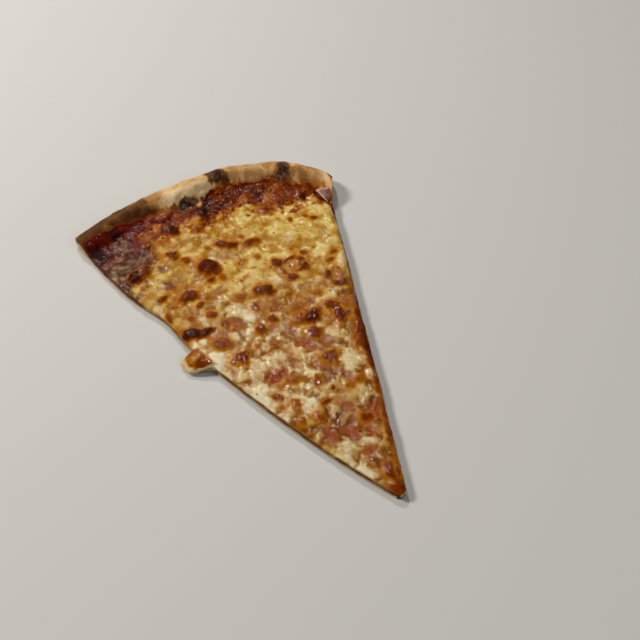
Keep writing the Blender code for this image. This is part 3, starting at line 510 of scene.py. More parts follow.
def cheese_end(s):
    """y of the cheese's far edge: a waved line short of the crust."""
    wave = 1.5 * np.sin(23.0 * s) + 0.9 * np.sin(51.0 * s + 1.0) - 3.5 * bell(s, 0.68, 0.1)
    band = SAUCE_BAND * (1.0 - 0.7 * ease(0.86, 0.96, s))
    return crust_line(s) - (bare_width(s) + band) * np.minimum(crust_slant(s), 1.15) + wave


def fringe_end(s):
    """y of the last bits of cheese: past its far edge, most to the right of the middle."""
    return cheese_end(s) + (5.0 * ease(0.10, 0.20, s) + 2.5 * ease(0.55, 0.68, s)) * ease(1.0, 0.92, s)


# --- The flat map of the slice --------------------------------------------------------------------------
CELL = 0.3                  # width of one cell; the map spans the slice and a margin round it
MAP_X, MAP_Y = np.meshgrid(np.arange(-84.0, 84.0, CELL), np.arange(-6.0, 248.0, CELL))


def read_map(field, x, y):
    """Value of a map at any points, blended between the four cells around each."""
    u = np.clip((x - MAP_X[0, 0]) / CELL, 0.0, MAP_X.shape[1] - 1.001)
    v = np.clip((y - MAP_Y[0, 0]) / CELL, 0.0, MAP_X.shape[0] - 1.001)
    i, j = u.astype(int), v.astype(int)
    a, b = u - i, v - j
    low = field[j, i] * (1.0 - a) + field[j, i + 1] * a
    high = field[j + 1, i] * (1.0 - a) + field[j + 1, i + 1] * a
    return low * (1.0 - b) + high * b


def near(x, y, reach):
    """The window of the map within `reach` of a point."""
    i, j = int((x - MAP_X[0, 0]) / CELL), int((y - MAP_Y[0, 0]) / CELL)
    r = int(reach / CELL) + 2
    return slice(max(j - r, 0), j + r), slice(max(i - r, 0), i + r)


def shaken(window, half):
    """Points of a window moved by noise in two sizes, so that a mark's outline comes out uneven."""
    px, py = MAP_X[window], MAP_Y[window]
    wide, narrow = 0.36 * half, 0.14 * half
    dx = wide * cloud(px, py, 4.5, 31) + narrow * cloud(px, py, 1.8, 34)
    dy = wide * cloud(px, py, 4.5, 32) + narrow * cloud(px, py, 1.8, 35)
    return px + dx, py + dy


def shaken_oval(window, x, y, half_x, half_y, turn=0.0):
    """Distance from a mark's middle at the shaken points of a window, 1 at its edge."""
    return oval(*shaken(window, min(half_x, half_y)), x, y, half_x, half_y, turn)


def raise_to(field, window, value):
    """Lift a window of a map to a value wherever it is lower."""
    field[window] = np.maximum(field[window], value)


def soft_marks(marks, fall=1.0):
    """Highest of soft elliptical marks, each strength * exp(-fall * r^4)."""
    field = np.zeros_like(MAP_X)
    for x, y, half_x, half_y, strength in marks:
        window = near(x, y, 2.2 * max(half_x, half_y))
        r = shaken_oval(window, x, y, half_x, half_y)
        raise_to(field, window, strength * np.exp(-fall * r ** 4))
    return field


def rope_marks(ropes):
    """Highest of soft ropes, each strength * exp(-0.55 r^3), r the distance from its line in half widths."""
    field = np.zeros_like(MAP_X)
    for x0, y0, x1, y1, half, strength in ropes:
        length = np.hypot(x1 - x0, y1 - y0)
        window = near(0.5 * (x0 + x1), 0.5 * (y0 + y1), 0.5 * length + 3.5 * half)
        px, py = shaken(window, 2.6 * half)
        along = np.clip(((px - x0) * (x1 - x0) + (py - y0) * (y1 - y0)) / length ** 2, 0.0, 1.0)
        r = np.hypot(px - x0 - along * (x1 - x0), py - y0 - along * (y1 - y0)) / half
        raise_to(field, window, strength * np.exp(-0.55 * r ** 3))
    return field


def freckles(count, seed):
    """Small soft toasted spots scattered where slow noise is high: x, y, half sizes, turn, rise and toast."""
    rng = np.random.default_rng(seed)
    y = 70.0 + 136.0 * rng.uniform(0.0, 1.0, count) ** 0.8
    x = left_cut(y) + (right_cut(y) - left_cut(y)) * rng.uniform(0.03, 0.97, count)
    keep = cloud(x, y, 14.0, 41) + rng.uniform(-0.6, 0.6, count) > 0.0
    size = 0.8 + 1.5 * rng.uniform(0.0, 1.0, count) ** 2
    marks = np.stack([x, y, size * rng.uniform(0.9, 1.9, count), size, rng.uniform(0, 180, count),
                      0.10 * size, rng.uniform(0.22, 0.42, count)], axis=-1)
    return marks[keep].tolist()


def cheese_margin(x, y):
    """Ragged distance in from the cheese's far edge and the bare corner, about 1 for every 6 mm."""
    from_left = x - cheese_left(y) + 30.0 * ease(172.0, 158.0, y)
    margin = np.minimum(fringe_end(cut_share(x, y)) - y, from_left)
    fringe = margin / (6.5 + 5.5 * ease(-28.0, -44.0, x))
    fringe = fringe + 0.60 * clouds(x, y, 5.5, 27, 3) + 0.35 * cloud(x, y, 1.9, 28)
    fringe = fringe + 2.5 * mound(x, y, -54.5, 181.5, 11.0, 8.0)
    return fringe + 1.5 * mound(x, y, -57.0, 170.5, 8.0, 6.0)


def cheese_cover(x, y):
    """Share of cheese: 1 well inside, falling to 0 over a ragged fringe at the far edge and bare corner."""
    return ease(*COVER_SPAN, cheese_margin(x, y))


def melted_ground():
    """What the maps of the cheese start from: places, shares of the slice and the common noises."""
    x, y = MAP_X, MAP_Y
    wx = x + 2.0 * clouds(x, y, 9.0, 1, 3)
    wy = y + 2.0 * clouds(x, y, 9.0, 2, 3)
    upper = ease(112.0, 172.0, y + 14.0 * cloud(x, y, 28.0, 3))
    return SimpleNamespace(
        x=x, y=y, wx=wx, wy=wy, share=cut_share(x, y), upper=upper, lower=1.0 - upper,
        broad=billow(wx, wy, 9.0, 4), knobs=billow(wx, wy, 4.6, 5), fine=billow(wx, wy, 2.3, 6, 1),
        shreds=ease(-0.1, 0.9, strands(wx, wy, 3.6, 1.05, 60)),
        slow=clouds(x, y, 16.0, 7, 2), melt=clouds(wx, wy, 10.0, 15, 3))


def blister_maps():
    """Dome, toast, amber halo and char of all blisters and burst bubbles, each fading with its distance r."""
    dome, toast, halo, char = np.zeros((4, *MAP_X.shape))
    for x, y, half_x, half_y, turn, rise, tone in BLISTERS + freckles(count=130, seed=42):
        window = near(x, y, 2.6 * max(half_x, half_y) + 1.0)
        r = shaken_oval(window, x, y, half_x, half_y, turn)
        patchy = 0.07 * clouds(MAP_X[window], MAP_Y[window], 2.2, 33, 2)
        core = (tone + patchy) * ease(1.34, 0.50, r)
        shoulder = 0.52 * tone * ease(2.2, 0.8, r + 3.0 * patchy)
        raise_to(dome, window, 1.2 * rise * np.clip(1.0 - (r / 1.05) ** 2, 0.0, 1.0) ** 0.7)
        raise_to(toast, window, np.maximum(core, shoulder))
        raise_to(halo, window, min(1.0, half_x / 4.5) * bell(r, 1.15, 0.45))
        raise_to(char, window, ease(0.86, 1.0, tone) * ease(1.1, 0.5, r + 0.5 * patchy))
    for x, y, half_x, half_y in BURST:
        window = near(x, y, 1.9 * half_x)
        r = shaken_oval(window, x, y, half_x, half_y)
        broken = np.clip(0.65 + 0.8 * clouds(MAP_X[window], MAP_Y[window], 5.0, 36, 3), 0.0, 1.0)
        ring, crater = bell(r, 0.72, 0.42) * broken, ease(0.7, 0.2, r)
        raise_to(dome, window, 0.8 * ring)
        dome[window] -= 0.3 * crater
        raise_to(toast, window, np.maximum(0.84 * ring, 0.34 * crater))
        raise_to(char, window, 0.22 * crater * broken)
    return dome, toast, halo, char


def thin_map(g, ropes):
    """Where the sauce shows through: the set places, in the lower part also low melt, not in ropes."""
    hollows = ease(0.30, 0.02, 0.5 * g.broad + 0.5 * g.knobs - 0.12 * g.slow)
    thin = soft_marks(THIN_PLACES) * (0.7 + 0.5 * hollows)
    thin = thin + g.lower * (0.75 * ease(-0.10, -0.50, g.melt) + 0.25 * hollows)
    return np.clip(thin * (1.0 - 0.9 * ropes), 0.0, 1.0)


def height_map(g, dome, ropes, thin):
    """Height over the cheese's floor: lumps, shreds, ropes and pimples, lower where thin; domes rise from
    calmer ground."""
    close, tag = pebbles(g.wx + 0.6 * cloud(g.x, g.y, 1.6, 13), g.wy, 2.1, 8)
    pimples = np.clip(1.0 - (close / 0.62) ** 2, 0.0, 1.0) * tag
    relief = 0.60 * rounded(g.broad) + 0.30 * rounded(g.knobs) + 0.12 * rounded(g.fine) + 0.16
    relief = relief + 0.12 * g.upper * g.shreds + 0.35 * ropes + 0.30 * g.lower * g.melt - 0.30 * thin
    relief = relief + (0.06 + 0.30 * thin) * pimples + 0.05 * cloud(g.x, g.y, 1.5, 14)
    height = CHEESE_THICK - 0.85 - 0.4 * ease(60.0, 0.0, g.y) + relief + 0.25 * g.slow
    calm = ease(0.0, 0.5, dome)
    height = height * (1.0 - 0.6 * calm) + 0.6 * calm * CHEESE_THICK + dome
    return height + 0.28 * calm * clouds(g.x, g.y, 2.6, 17, 2)


def rim_map(x, y):
    """Pale melted rim along the lower left cut, broken up by slow noise."""
    rim = ease(4.2, 0.8, x - left_cut(y) + 1.2 * clouds(x, y, 5.0, 9, 2))
    rim = rim * ease(6.0, 14.0, y) * ease(150.0, 110.0, y)
    return rim * np.clip(0.62 + 0.6 * clouds(x, y, 9.0, 39, 2), 0.0, 1.0)


def curd_map(g, rim, halo):
    """How pale the cheese is: tangled shreds above and smooth melt below, evened out and pressed by tanh,
    then lifted and lowered part by part."""
    patches = clouds(g.wx, g.wy, 5.0, 18, 3)
    tangled = 0.42 * g.shreds + 0.20 * g.knobs + 0.10 * g.fine
    tangled = tangled + 0.20 * g.broad + 0.30 * g.slow + 0.60 * patches
    smooth = 0.35 * g.broad + 0.22 * g.knobs + 0.10 * g.fine + 0.15 * g.slow + 0.55 * g.melt
    curd = sum(part * (mix - mix.mean()) / mix.std() for part, mix in ((g.upper, tangled), (g.lower, smooth)))
    curd = 0.49 + (0.46 - 0.12 * g.upper) * np.tanh(1.2 * curd)
    curd = curd + g.upper * (0.30 * ease(0.15, 0.85, g.share) - 0.10)
    curd = curd + 0.18 * ease(55.0, 70.0, g.y) * ease(136.0, 118.0, g.y) * ease(0.75, 0.3, g.share)
    for *foot, strength in PALE_PATCHES:
        curd = curd + strength * mound(g.x, g.y, *foot)
    curd = curd + 0.34 * rim - 0.12 * halo
    return curd - 0.22 * ease(34.0, 4.0, g.y) - 0.22 * ease(72.0, 46.0, g.y) * (1.0 - rim)


def cream_map(g, ropes, rim):
    """White cream: the ropes, weaker at the tip and the right, high melt and the rim, in lumps."""
    cream = ropes * (1.0 - 0.4 * ease(60.0, 50.0, g.y) - 0.3 * ease(0.5, 0.7, g.share))
    cream = cream + (0.15 + 0.15 * g.lower) * ease(0.0, 0.8, g.melt)
    cream = cream + 0.25 * rim * ease(60.0, 75.0, g.y)
    return cream * (0.45 + 0.7 * g.knobs + 0.4 * g.fine)


def golden_map(g):
    """Toast of the light golden patches above the tip, weaker at the upper right and in the middle."""
    golden = ease(-0.05, 0.50, clouds(g.wx, g.wy, 7.0, 37, 3)) * ease(74.0, 92.0, g.y)
    golden = golden * (1.0 - 0.6 * ease(158.0, 186.0, g.y) * ease(0.45, 0.75, g.share))
    golden = golden * (1.0 - 0.9 * mound(g.x, g.y, 8.0, 106.0, 30.0, 20.0))
    return (0.34 - 0.08 * g.upper + 0.14 * clouds(g.x, g.y, 3.0, 38, 2)) * golden


def amber_map(g, halo, ropes):
    """Amber oil: set pools, a halo round each blister, thin oil above and at the right, none on ropes."""
    oily = 0.5 * g.upper * ease(0.25, 0.9, clouds(g.x, g.y, 10.0, 10, 3))
    oily = oily + 0.30 * ease(0.30, 0.70, g.share) * ease(76.0, 96.0, g.y) * ease(164.0, 140.0, g.y)
    oily = oily + 0.10 * np.exp(-((g.x - 26.0) / 18.0) ** 2 - ((g.y - 132.0) / 34.0) ** 2)
    amber = np.clip(soft_marks(OIL_POOLS, 0.8) + 0.5 * halo + oily, 0.0, 1.0)
    return amber * (1.0 - 0.8 * ropes)


def right_edge_maps(x, y):
    """Nearness to the right cut, 1 at the cut and 0 past the strip's reach, and the toast of that strip,
    which also paints the shade of the gap between the slices.
    """
    reach = np.interp(y, *np.array(RIGHT_BAKE_AND_SHADE).T) * (1.0 + 0.45 * clouds(x, y, 6.0, 12, 3))
    edge = np.clip(1.0 - (right_cut(y) - x) / np.maximum(reach, 0.4), 0.0, 1.0)
    dark = 0.30 + 0.30 * edge + 0.20 * edge * ease(66.0, 84.0, y) + 0.22 * clouds(x, y, 5.0, 19, 3)
    # Darker still from y 74 to 104: painted shade where the cheese falls away into the gap between the
    # slices.
    dark = dark + 0.14 * ease(74.0, 84.0, y) * ease(104.0, 94.0, y)
    return edge, dark * ease(0.0, 0.7, edge)


def tip_toast(x, y):
    """Toast of the last 15 mm of the tip."""
    return ease(15.0, 4.0, y + 2.0 * cloud(x, y, 3.0, 20)) * (0.62 + 0.12 * clouds(x, y, 3.0, 29, 2))


def far_edge_toast(x, y, margin, cover):
    """Toast where the cheese ends: a patchy shore along the far edge, and the thinning fringe itself."""
    shore = ease(2.4, 1.0, margin + 0.8 * clouds(x, y, 3.4, 42, 2)) * ease(-40.0, -30.0, x)
    shore = shore * np.clip(0.46 + 0.40 * clouds(x, y, 3.6, 43, 3), 0.0, 0.8)
    return np.maximum(shore, ease(1.0, 0.62, cover) * (0.50 + 0.26 * clouds(x, y, 4.0, 26, 3)))


def bake():
    """All maps of the cheese: height over its floor, the shares that colour it, and how much it covers."""
    g = melted_ground()
    x, y = g.x, g.y
    dome, toast, halo, char = blister_maps()
    ropes = rope_marks(CREAM_ROPES_AND_GLINT) * np.clip(0.8 + 0.5 * clouds(x, y, 5.0, 16, 2), 0.0, 1.0)
    thin, rim = thin_map(g, ropes), rim_map(x, y)
    edge, edge_toast_and_shade = right_edge_maps(x, y)
    margin = cheese_margin(x, y)
    cover = ease(*COVER_SPAN, margin)
    corner = ease(-34.0, -46.0, x + 3.0 * cloud(x, y, 5.0, 30)) * ease(158.0, 170.0, y)
    film = corner * ease(1.0, 0.85, cover + 0.15 * clouds(x, y, 3.0, 44, 2))

    toast = np.maximum(toast, golden_map(g)) * (1.0 - 0.75 * ropes)
    # The right strip's toast carries painted shade of the gap between the slices as well as baking.
    for baked in (edge_toast_and_shade, tip_toast(x, y), far_edge_toast(x, y, margin, cover)):
        toast = np.maximum(toast, baked)
    amber = np.maximum(amber_map(g, halo, ropes), ease(1.0, 0.9, cover) * 0.8)
    height = height_map(g, dome, ropes, thin) * (1.0 - 0.45 * edge ** 1.5)
    shares = {
        "curd": curd_map(g, rim, halo), "toast": toast * (1.0 - 0.6 * film), "thin": thin * (1.0 - 0.6 * rim),
        "cream": cream_map(g, ropes, rim), "amber": amber * (1.0 - 0.8 * corner), "char": char, "film": film,
    }
    shares = {key: np.clip(share, 0.0, 1.0) for key, share in shares.items()}
    return {"height": np.maximum(height, 0.0), **shares, "cover": cover, "lower": g.lower}


# --- Meshes ---------------------------------------------------------------------------------------------
def quads(a, b, c, d):
    """Four-cornered faces from four arrays of point numbers."""
    return np.stack([a, b, c, d], axis=-1).reshape(-1, 4)


def border_loop(sheet, last=-1):
    """Point numbers round a net's border, anticlockwise from its first corner, up to the row `last`."""
    return np.concatenate([sheet[0, :-1], sheet[:last, -1], sheet[last, :0:-1], sheet[last:0:-1, 0]])


def cut_side(column, columns):
    """-1 in the first column, on the left cut, 1 in the last one, on the right cut, and 0 between."""
    return (column == columns - 1) * 1.0 - (column == 0) * 1.0


def box_net(rows, columns, levels, flat_top=0, flat_under=0):
    """Net over the six sides of a block of rows x columns x levels points, faces outward.

    The first `flat_top` rows of the top and `flat_under` rows of the underside are one level face each.
    Returns the lattice place (i, j, k) of every point and the list of face arrays.
    """
    number = np.arange(rows * columns * levels).reshape(rows, columns, levels)
    top, under = number[flat_top:, :, -1], number[flat_under:, :, 0]
    left, right = number[:, 0, :], number[:, -1, :]
    front, back = number[0], number[-1]
    faces = [
        quads(top[:-1, :-1], top[:-1, 1:], top[1:, 1:], top[1:, :-1]),
        quads(under[:-1, :-1], under[1:, :-1], under[1:, 1:], under[:-1, 1:]),
        quads(left[:-1, :-1], left[:-1, 1:], left[1:, 1:], left[1:, :-1]),
        quads(right[:-1, :-1], right[1:, :-1], right[1:, 1:], right[:-1, 1:]),
        quads(front[:-1, :-1], front[1:, :-1], front[1:, 1:], front[:-1, 1:]),
        quads(back[:-1, :-1], back[:-1, 1:], back[1:, 1:], back[1:, :-1]),
    ]
    if flat_top:
        faces.append(border_loop(number[:, :, -1], flat_top)[None])
    if flat_under:
        faces.append(border_loop(number[:, :, 0], flat_under)[None, ::-1])
    used = np.unique(np.concatenate([face.ravel() for face in faces]))
    renumber = np.zeros(number.size, int)
    renumber[used] = np.arange(len(used))
    return np.stack(np.unravel_index(used, number.shape)), [renumber[face] for face in faces]


def place_piece(name, points, faces, values, material, node=None):
    """Mesh object from points in slice millimetres, with its values as attributes; rides on the root."""
    mesh = bpy.data.meshes.new(name)
    mesh.vertices.add(len(points))
    mesh.vertices.foreach_set("co", ((points - ORIGIN) * MM).astype(np.float32).ravel())
    corners = np.concatenate([face.ravel() for face in faces])
    totals = np.concatenate([np.full(len(face), face.shape[1]) for face in faces])
    mesh.loops.add(len(corners))
    mesh.loops.foreach_set("vertex_index", corners.astype(np.int32))
    mesh.polygons.add(len(totals))
    mesh.polygons.foreach_set("loop_start", (np.cumsum(totals) - totals).astype(np.int32))
    mesh.update(calc_edges=True)
    mesh.validate()
    mesh.shade_smooth()
    for key, value in values.items():
        layer = mesh.attributes.new(key, "FLOAT", "POINT")
        layer.data.foreach_set("value", np.asarray(value, dtype=np.float32))
    mesh.materials.append(material)
    piece = bpy.data.objects.new(name, mesh)
    bpy.context.collection.objects.link(piece)
    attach(piece, "root")
    if node:
        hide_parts(node)


def grid_normals(x, y, z):
    """Unit normals of a height net: the cross product of its steps along columns and rows."""
    along = [np.gradient(c, axis=1) for c in (x, y, z)]
    up = [np.gradient(c, axis=0) for c in (x, y, z)]
    normal = np.stack([along[1] * up[2] - along[2] * up[1], along[2] * up[0] - along[0] * up[2],
                       along[0] * up[1] - along[1] * up[0]])
    return normal / np.maximum(np.linalg.norm(normal, axis=0), 1e-9)


# --- Materials ------------------------------------------------------------------------------------------
MIX_A, MIX_B, MIX_RESULT = 6, 7, 2    # sockets of a Mix node that carry colours


def tint(red, green, blue):
    """Linear colour from the usual 0 to 255 values: ((c + 0.055) / 1.055)^2.4, straight near black."""
    share = np.array([red, green, blue]) / 255.0
    linear = np.where(share <= 0.04045, share / 12.92, ((share + 0.055) / 1.055) ** 2.4)
    return (*linear.tolist(), 1.0)


class Finish:
    """One Principled material whose pattern is built from noise in object millimetres and attributes."""

    def __init__(self, name, roughness, **fixed):
        self.material = bpy.data.materials.new(name)
        self.material.use_nodes = True
        self.nodes = self.material.node_tree.nodes
        self.links = self.material.node_tree.links
        self.shader = self.nodes["Principled BSDF"]
        self.place = self.nodes.new("ShaderNodeTexCoord").outputs["Object"]
        self.shader.inputs["Roughness"].default_value = roughness
        for socket, value in fixed.items():
            self.shader.inputs[socket.replace("_", " ")].default_value = value

    def plug(self, value, socket):
        """Link an output, or set a plain number or colour."""
        if isinstance(value, bpy.types.NodeSocket):
            self.links.new(value, socket)
        else:
            socket.default_value = value

    def attribute(self, name):
        """Value that every point of the mesh carries under this name."""
        node = self.nodes.new("ShaderNodeAttribute")
        node.attribute_name = name
        return node.outputs["Fac"]

    def noise(self, size, detail=3.0):
        """Noise whose main blobs are `size` millimetres wide, 0 to 1."""
        node = self.nodes.new("ShaderNodeTexNoise")
        self.links.new(self.place, node.inputs["Vector"])
        node.inputs["Scale"].default_value = 1.0 / (size * MM)
        node.inputs["Detail"].default_value = detail
        node.inputs["Roughness"].default_value = 0.55
        return node.outputs["Fac"]

    def cells(self, size):
        """Distance to the nearest of scattered points about `size` millimetres apart."""
        node = self.nodes.new("ShaderNodeTexVoronoi")
        self.links.new(self.place, node.inputs["Vector"])
        node.inputs["Scale"].default_value = 1.0 / (size * MM)
        return node.outputs["Distance"]

    def math(self, kind, a, b=0.0, c=0.0, clamp=False):
        """One sum of up to three values, kept between 0 and 1 if clamped."""
        node = self.nodes.new("ShaderNodeMath")
        node.operation = kind
        node.use_clamp = clamp
        for value, socket in zip((a, b, c), node.inputs):
            self.plug(value, socket)
        return node.outputs[0]

    def steps(self, value, low, high):
        """Smooth step of a value, 0 at low to 1 at high; low may be the larger."""
        node = self.nodes.new("ShaderNodeMapRange")
        node.interpolation_type = "SMOOTHSTEP"
        self.plug(value, node.inputs["Value"])
        node.inputs["From Min"].default_value = low
        node.inputs["From Max"].default_value = high
        return node.outputs["Result"]

    def stir(self, value, noise, amount):
        """value + amount * (noise - 0.5)."""
        return self.math("ADD", value, self.math("MULTIPLY_ADD", noise, amount, -0.5 * amount))

    def ramp(self, value, stops):
        """Colour at a value, from stops of (place, colour)."""
        node = self.nodes.new("ShaderNodeValToRGB")
        points = node.color_ramp.elements
        while len(points) < len(stops):
            points.new(0.5)
        for point, (where, colour) in zip(points, stops):
            point.position = where
            point.color = colour
        self.plug(value, node.inputs["Fac"])
        return node.outputs["Color"]

    def mix(self, share, a, b):
        """Colour a turning into colour b with the share."""
        node = self.nodes.new("ShaderNodeMix")
        node.data_type = "RGBA"
        self.plug(share, node.inputs["Factor"])
        self.plug(a, node.inputs[MIX_A])
        self.plug(b, node.inputs[MIX_B])
        return node.outputs[MIX_RESULT]

    def bump(self, height, rise, below=None):
        """Bump whose full height is `rise` millimetres."""
        node = self.nodes.new("ShaderNodeBump")
        node.inputs["Distance"].default_value = rise * MM
        self.plug(height, node.inputs["Height"])
        if below is not None:
            self.links.new(below, node.inputs["Normal"])
        return node.outputs["Normal"]

    def set(self, **sockets):
        """Plug values into the shader's sockets and hand back the material."""
        for name, value in sockets.items():
            self.plug(value, self.shader.inputs[name.replace("_", " ")])
        return self.material


def cheese_finish():
    """Melted cheese: tan to cream by its curd, red where it is thin, amber with oil, browned by toast."""
    f = Finish("melted_cheese", 0.45, Subsurface_Weight=0.06, Subsurface_Scale=0.001, IOR=1.40,
               Specular_IOR_Level=0.05, Coat_Roughness=0.07)
    f.shader.inputs["Subsurface Radius"].default_value = (1.0, 0.6, 0.3)
    fine, grain, slow = f.noise(0.8, 4.0), f.noise(0.28, 3.0), f.noise(5.0, 3.0)
    curd = f.stir(f.stir(f.attribute("curd"), fine, 0.36), grain, 0.16)
    yellow = f.ramp(curd, [
        (0.0, tint(138, 76, 8)), (0.25, tint(168, 116, 32)), (0.5, tint(192, 152, 64)),
        (0.75, tint(208, 176, 92)), (1.0, tint(222, 198, 124))])
    beige = f.ramp(curd, [
        (0.0, tint(110, 50, 2)), (0.25, tint(134, 76, 18)), (0.5, tint(160, 111, 46)),
        (0.75, tint(186, 151, 86)), (1.0, tint(213, 190, 138))])
    body = f.mix(f.steps(f.stir(f.attribute("lower"), slow, 0.5), 0.2, 0.8), yellow, beige)
    body = f.mix(f.steps(f.stir(f.attribute("cream"), fine, 0.4), 0.10, 0.95), body, f.ramp(curd, [
        (0.1, tint(176, 136, 84)), (0.5, tint(204, 176, 126)), (1.0, tint(232, 218, 182))]))
    thin = f.stir(f.stir(f.attribute("thin"), fine, 0.5), grain, 0.2)
    red = f.ramp(thin, [(0.2, tint(182, 114, 48)), (0.6, tint(160, 78, 22)), (1.0, tint(134, 50, 6))])
    body = f.mix(f.steps(thin, 0.22, 0.85), body, red)
    oil = f.ramp(curd, [(0.0, tint(142, 78, 2)), (0.5, tint(174, 112, 10)), (1.0, tint(206, 154, 42))])
    body = f.mix(f.math("MULTIPLY", f.stir(f.attribute("amber"), fine, 0.3), 0.75, clamp=True), body, oil)
    toast = f.stir(f.stir(f.attribute("toast"), fine, 0.16), grain, 0.08)
    baked = f.ramp(toast, [
        (0.15, tint(194, 138, 32)), (0.36, tint(170, 100, 8)), (0.50, tint(146, 74, 0)),
        (0.64, tint(118, 48, 0)), (0.78, tint(100, 37, 0)), (0.92, tint(76, 24, 0))])
    colour = f.mix(f.steps(toast, 0.06, 0.50), body, baked)
    colour = f.mix(f.math("MULTIPLY", f.attribute("char"), 0.85), colour, tint(50, 13, 4))
    film = f.ramp(f.stir(curd, slow, 0.5), [
        (0.1, tint(92, 54, 34)), (0.5, tint(136, 100, 68)), (0.9, tint(182, 154, 120))])
    colour = f.mix(f.steps(f.attribute("film"), 0.0, 1.0), colour, film)
    rough = f.math("MULTIPLY_ADD", grain, 0.25, 0.42)
    normal = f.bump(grain, 0.05, f.bump(fine, 0.20))
    ripple = f.math("MAXIMUM", thin, f.attribute("cream"))
    wet = f.bump(f.math("MULTIPLY_ADD", f.noise(1.0, 1.0), ripple, f.noise(2.4, 1.0)), 0.60)
    gloss = f.math("MULTIPLY_ADD", f.steps(f.attribute("lower"), 0.0, 1.0), 0.36, 0.24)
    gloss = f.math("MULTIPLY_ADD", f.steps(f.noise(4.0, 2.0), 0.40, 0.66), 0.34, gloss)
    gloss = f.math("MULTIPLY_ADD", f.attribute("toast"), -0.25, gloss, clamp=True)
    return f.set(Base_Color=colour, Roughness=rough, Normal=normal, Coat_Weight=gloss, Coat_Normal=wet)


def sauce_finish():
    """Cooked tomato sauce: wet burgundy in the corner, browned with fat elsewhere, dull starch film."""
    f = Finish("cooked_sauce", 0.4, IOR=1.40, Specular_IOR_Level=0.05, Coat_Roughness=0.10)
    fine, grain = f.noise(0.9, 4.0), f.noise(0.3, 3.0)
    tone = f.stir(f.stir(f.attribute("toast"), fine, 0.30), grain, 0.12)
    brown = f.ramp(tone, [
        (0.0, tint(42, 7, 0)), (0.22, tint(72, 17, 0)), (0.42, tint(100, 34, 0)), (0.60, tint(132, 60, 8)),
        (0.78, tint(166, 100, 36)), (1.0, tint(200, 152, 84))])
    red = f.ramp(tone, [(0.0, tint(36, 4, 4)), (0.4, tint(78, 10, 8)), (0.8, tint(118, 34, 20))])
    colour = f.mix(f.attribute("red"), brown, red)
    film = f.ramp(f.stir(tone, f.noise(2.4, 4.0), 1.0), [
        (0.0, tint(66, 34, 20)), (0.35, tint(104, 70, 46)), (0.8, tint(174, 146, 116))])
    colour = f.mix(f.steps(f.stir(f.attribute("film"), fine, 0.5), 0.0, 1.1), colour, film)
    colour = f.mix(f.attribute("char"), colour, tint(34, 16, 18))
    rough = f.math("MULTIPLY_ADD", f.attribute("film"), 0.25, 0.36)
    normal = f.bump(grain, 0.10, f.bump(fine, 0.25))
    wet = f.bump(f.noise(1.5, 1.0), 0.50)
    gloss = f.math("MULTIPLY_ADD", f.steps(f.noise(3.2, 2.0), 0.42, 0.62), 0.26, 0.12)
    dull = f.math("MAXIMUM", f.math("MULTIPLY", f.attribute("film"), 0.25), f.attribute("char"))
    gloss = f.math("MULTIPLY_ADD", dull, -0.36, gloss, clamp=True)
    return f.set(Base_Color=colour, Roughness=rough, Normal=normal, Coat_Weight=gloss, Coat_Normal=wet)


def dough_finish():
    """Baked dough: cream to tan to char by its toast, stained near the sauce, porous crumb where cut."""
    f = Finish("baked_dough", 0.7, Subsurface_Weight=0.05, Subsurface_Scale=0.0012, IOR=1.4,
               Specular_IOR_Level=0.2)
    fine, grain, slow = f.noise(1.0, 5.0), f.noise(0.3, 3.0), f.noise(5.0, 3.0)
    toast = f.stir(f.stir(f.stir(f.attribute("toast"), fine, 0.16), slow, 0.12), grain, 0.08)
    crust = f.ramp(toast, [
        (0.0, tint(248, 220, 172)), (0.2, tint(224, 186, 134)), (0.4, tint(184, 138, 84)),
        (0.6, tint(142, 96, 48)), (0.8, tint(98, 60, 27)), (1.0, tint(58, 32, 18))])
    stain = f.ramp(toast, [(0.0, tint(190, 128, 62)), (0.4, tint(160, 92, 30)), (0.8, tint(112, 56, 16))])
    crust = f.mix(f.steps(f.stir(f.attribute("stain"), fine, 0.5), 0.2, 0.8), crust, stain)
    burnt = f.ramp(f.stir(f.noise(1.8, 4.0), slow, 0.6), [
        (0.36, tint(46, 28, 24)), (0.50, tint(88, 62, 48)), (0.64, tint(134, 102, 76))])
    crust = f.mix(f.steps(f.stir(f.attribute("char"), fine, 0.5), 0.1, 0.9), crust, burnt)
    pores = f.steps(f.cells(1.1), 0.10, 0.42)
    crumb = f.mix(pores, tint(162, 120, 72), tint(212, 182, 136))
    crumb = f.mix(f.steps(f.stir(f.attribute("toast"), fine, 0.2), 0.30, 0.62), crumb, tint(98, 60, 30))
    colour = f.mix(f.steps(f.attribute("crumb"), 0.2, 0.6), crust, crumb)
    rough = f.math("MULTIPLY_ADD", toast, -0.15, 0.74)
    normal = f.bump(grain, 0.08, f.bump(fine, 0.18))
    return f.set(Base_Color=colour, Roughness=rough, Normal=normal)


def flap_finish():
    """Torn cheese stained by sauce: dull pink with paler edges; the paler left and darker right also paint
    light and shade across it.
    """
    f = Finish("stained_cheese", 0.4, Subsurface_Weight=0.15, Subsurface_Scale=0.0015, Coat_Weight=0.2,
               Coat_Roughness=0.2, Specular_IOR_Level=0.3)
    fine = f.noise(0.8, 4.0)
    colour = f.ramp(f.stir(f.attribute("pale"), fine, 0.4), [
        (0.1, tint(128, 78, 66)), (0.5, tint(166, 122, 116)), (1.0, tint(206, 176, 156))])
    return f.set(Base_Color=colour, Normal=f.bump(fine, 0.2))


